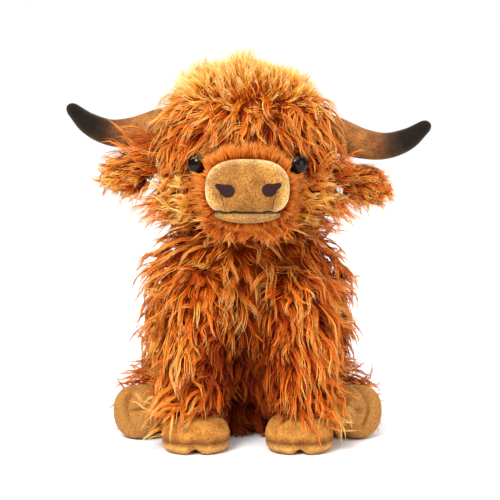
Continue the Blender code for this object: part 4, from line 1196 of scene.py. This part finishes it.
def eyeMesh(look, sign):
    # a turned profile: the dome is a part of a ball, then a short rim and a flat back; the axis looks
    # forward and out
    a = np.linspace(0.04, 1, 26)
    dome = np.stack((look["radius"] * np.sin(a * np.pi / 2), look["dome"] * np.cos(a * np.pi / 2)), -1)
    rim = np.array(((look["radius"] + 0.1, -0.5), (look["radius"], -look["rim"]),
                    (look["radius"] * 0.8, -look["rim"] - 0.6)))
    profile = np.concatenate((dome, rim))
    turn = 2 * np.pi * np.arange(64) / 64
    azimuth = math.radians(look["azimuth"])
    out = np.array((sign * math.sin(azimuth), -math.cos(azimuth), 0.05))
    across = unit(np.cross(out, (0, 0, 1.0)))
    up = np.cross(across, out)
    middle = np.array((sign * look["x"], look["y"], look["z"])) - 1.0 * out
    ring = np.cos(turn)[:, None] * across + np.sin(turn)[:, None] * up
    points = middle + profile[:, None, 1:2] * out + profile[:, None, 0:1] * ring[None, :, :]
    poles = np.array((middle + look["dome"] * out, middle - (look["rim"] + 0.6) * out))
    v = np.concatenate((a * 0.8, [0.85, 0.9, 1]))
    points = np.concatenate((points.reshape(-1, 3), poles))
    return points, *gridFaces(len(profile), 64), gridMap(64, v)


for side, sign in sides:
    addPiece(f"eye_dome_{side}", eyeMesh(eyeLook, sign), eyeGloss, "head", "eye_plastic",
             (f"eye_{side}", f"eye_washer_{side}"))
print("eyes ready")

# studio: pale paper, soft light from all round, and a camera level with the chest and a little above it
studio = {
    "aim": (1.9, 0, 142.06),  # middle of the picture, mm
    "distance": 1400,  # mm
    "elevation": 7,  # degrees above the level of the aim
    "lens": 127.9,  # mm
    "sensor": 36,  # mm
    "floor": 3000,  # half the paper's side, mm
    "sky": 0.4,  # strength of the room's light; the camera sees plain white behind the toy
    "lightAim": (0, -0.02, 0.14),  # m
    "boxes": (("key", (-0.6, -1.2, 1.2), 0.5, 23), ("fill", (1.2, -1.0, 0.5), 0.9, 7),
              ("rim", (0.5, 1.1, 1.1), 0.7, 10)),  # square soft boxes: name, place and side in m, power in W
    "ceiling": 2.45,  # strength of the soft light from above
}
paper, tree, shader = newMaterial("pale studio paper", 0.8, 0.5)
grain = node(tree, "TexNoise", {"Scale": 6, "Detail": 3})
grain = node(tree, "ValToRGB", {0: grain}, stops=((0.3, "#FCFCFC"), (0.7, "#FFFFFF")))
tree.links.new(grain, shader["Base Color"])
corners = studio["floor"] * np.array(((-1, -1, 0), (1, -1, 0), (1, 1, 0), (-1, 1, 0)))
addPiece("floor", (corners, np.arange(4), np.array([0]), None), paper)
scene.world = bpy.data.worlds.new("studio")
scene.world.use_nodes = True
tree = scene.world.node_tree
sky = tree.nodes["Background"].inputs
sky["Color"].default_value = (1, 1, 1, 1)
seen = node(tree, "LightPath", out="Is Camera Ray")
tree.links.new(node(tree, "MapRange", {0: seen, 3: studio["sky"]}), sky["Strength"])
scene.view_settings.view_transform = "Standard"
for name, place, size, power in studio["boxes"]:
    data = bpy.data.lights.new(name, "AREA")
    data.size, data.energy = size, power
    light = bpy.data.objects.new(name, data)
    light.location = place
    aim = Vector(studio["lightAim"]) - Vector(place)
    light.rotation_euler = aim.to_track_quat("-Z", "Y").to_euler()
    scene.collection.objects.link(light)
data = bpy.data.lights.new("ceiling", "SUN")
data.energy, data.angle = studio["ceiling"], math.radians(60)
light = bpy.data.objects.new("ceiling", data)
light.rotation_euler = (math.radians(25), math.radians(-12), 0)
scene.collection.objects.link(light)

data = bpy.data.cameras.new("camera")
data.lens, data.sensor_width = studio["lens"], studio["sensor"]
data.clip_start, data.clip_end = 0.05, 20  # m
camera = bpy.data.objects.new("camera", data)
tilt = math.radians(studio["elevation"])
back = Vector((0, -math.cos(tilt), math.sin(tilt)))
camera.location = (Vector(studio["aim"]) + studio["distance"] * back) * mm
camera.rotation_euler = (math.pi / 2 - tilt, 0, 0)
scene.collection.objects.link(camera)
scene.camera = camera
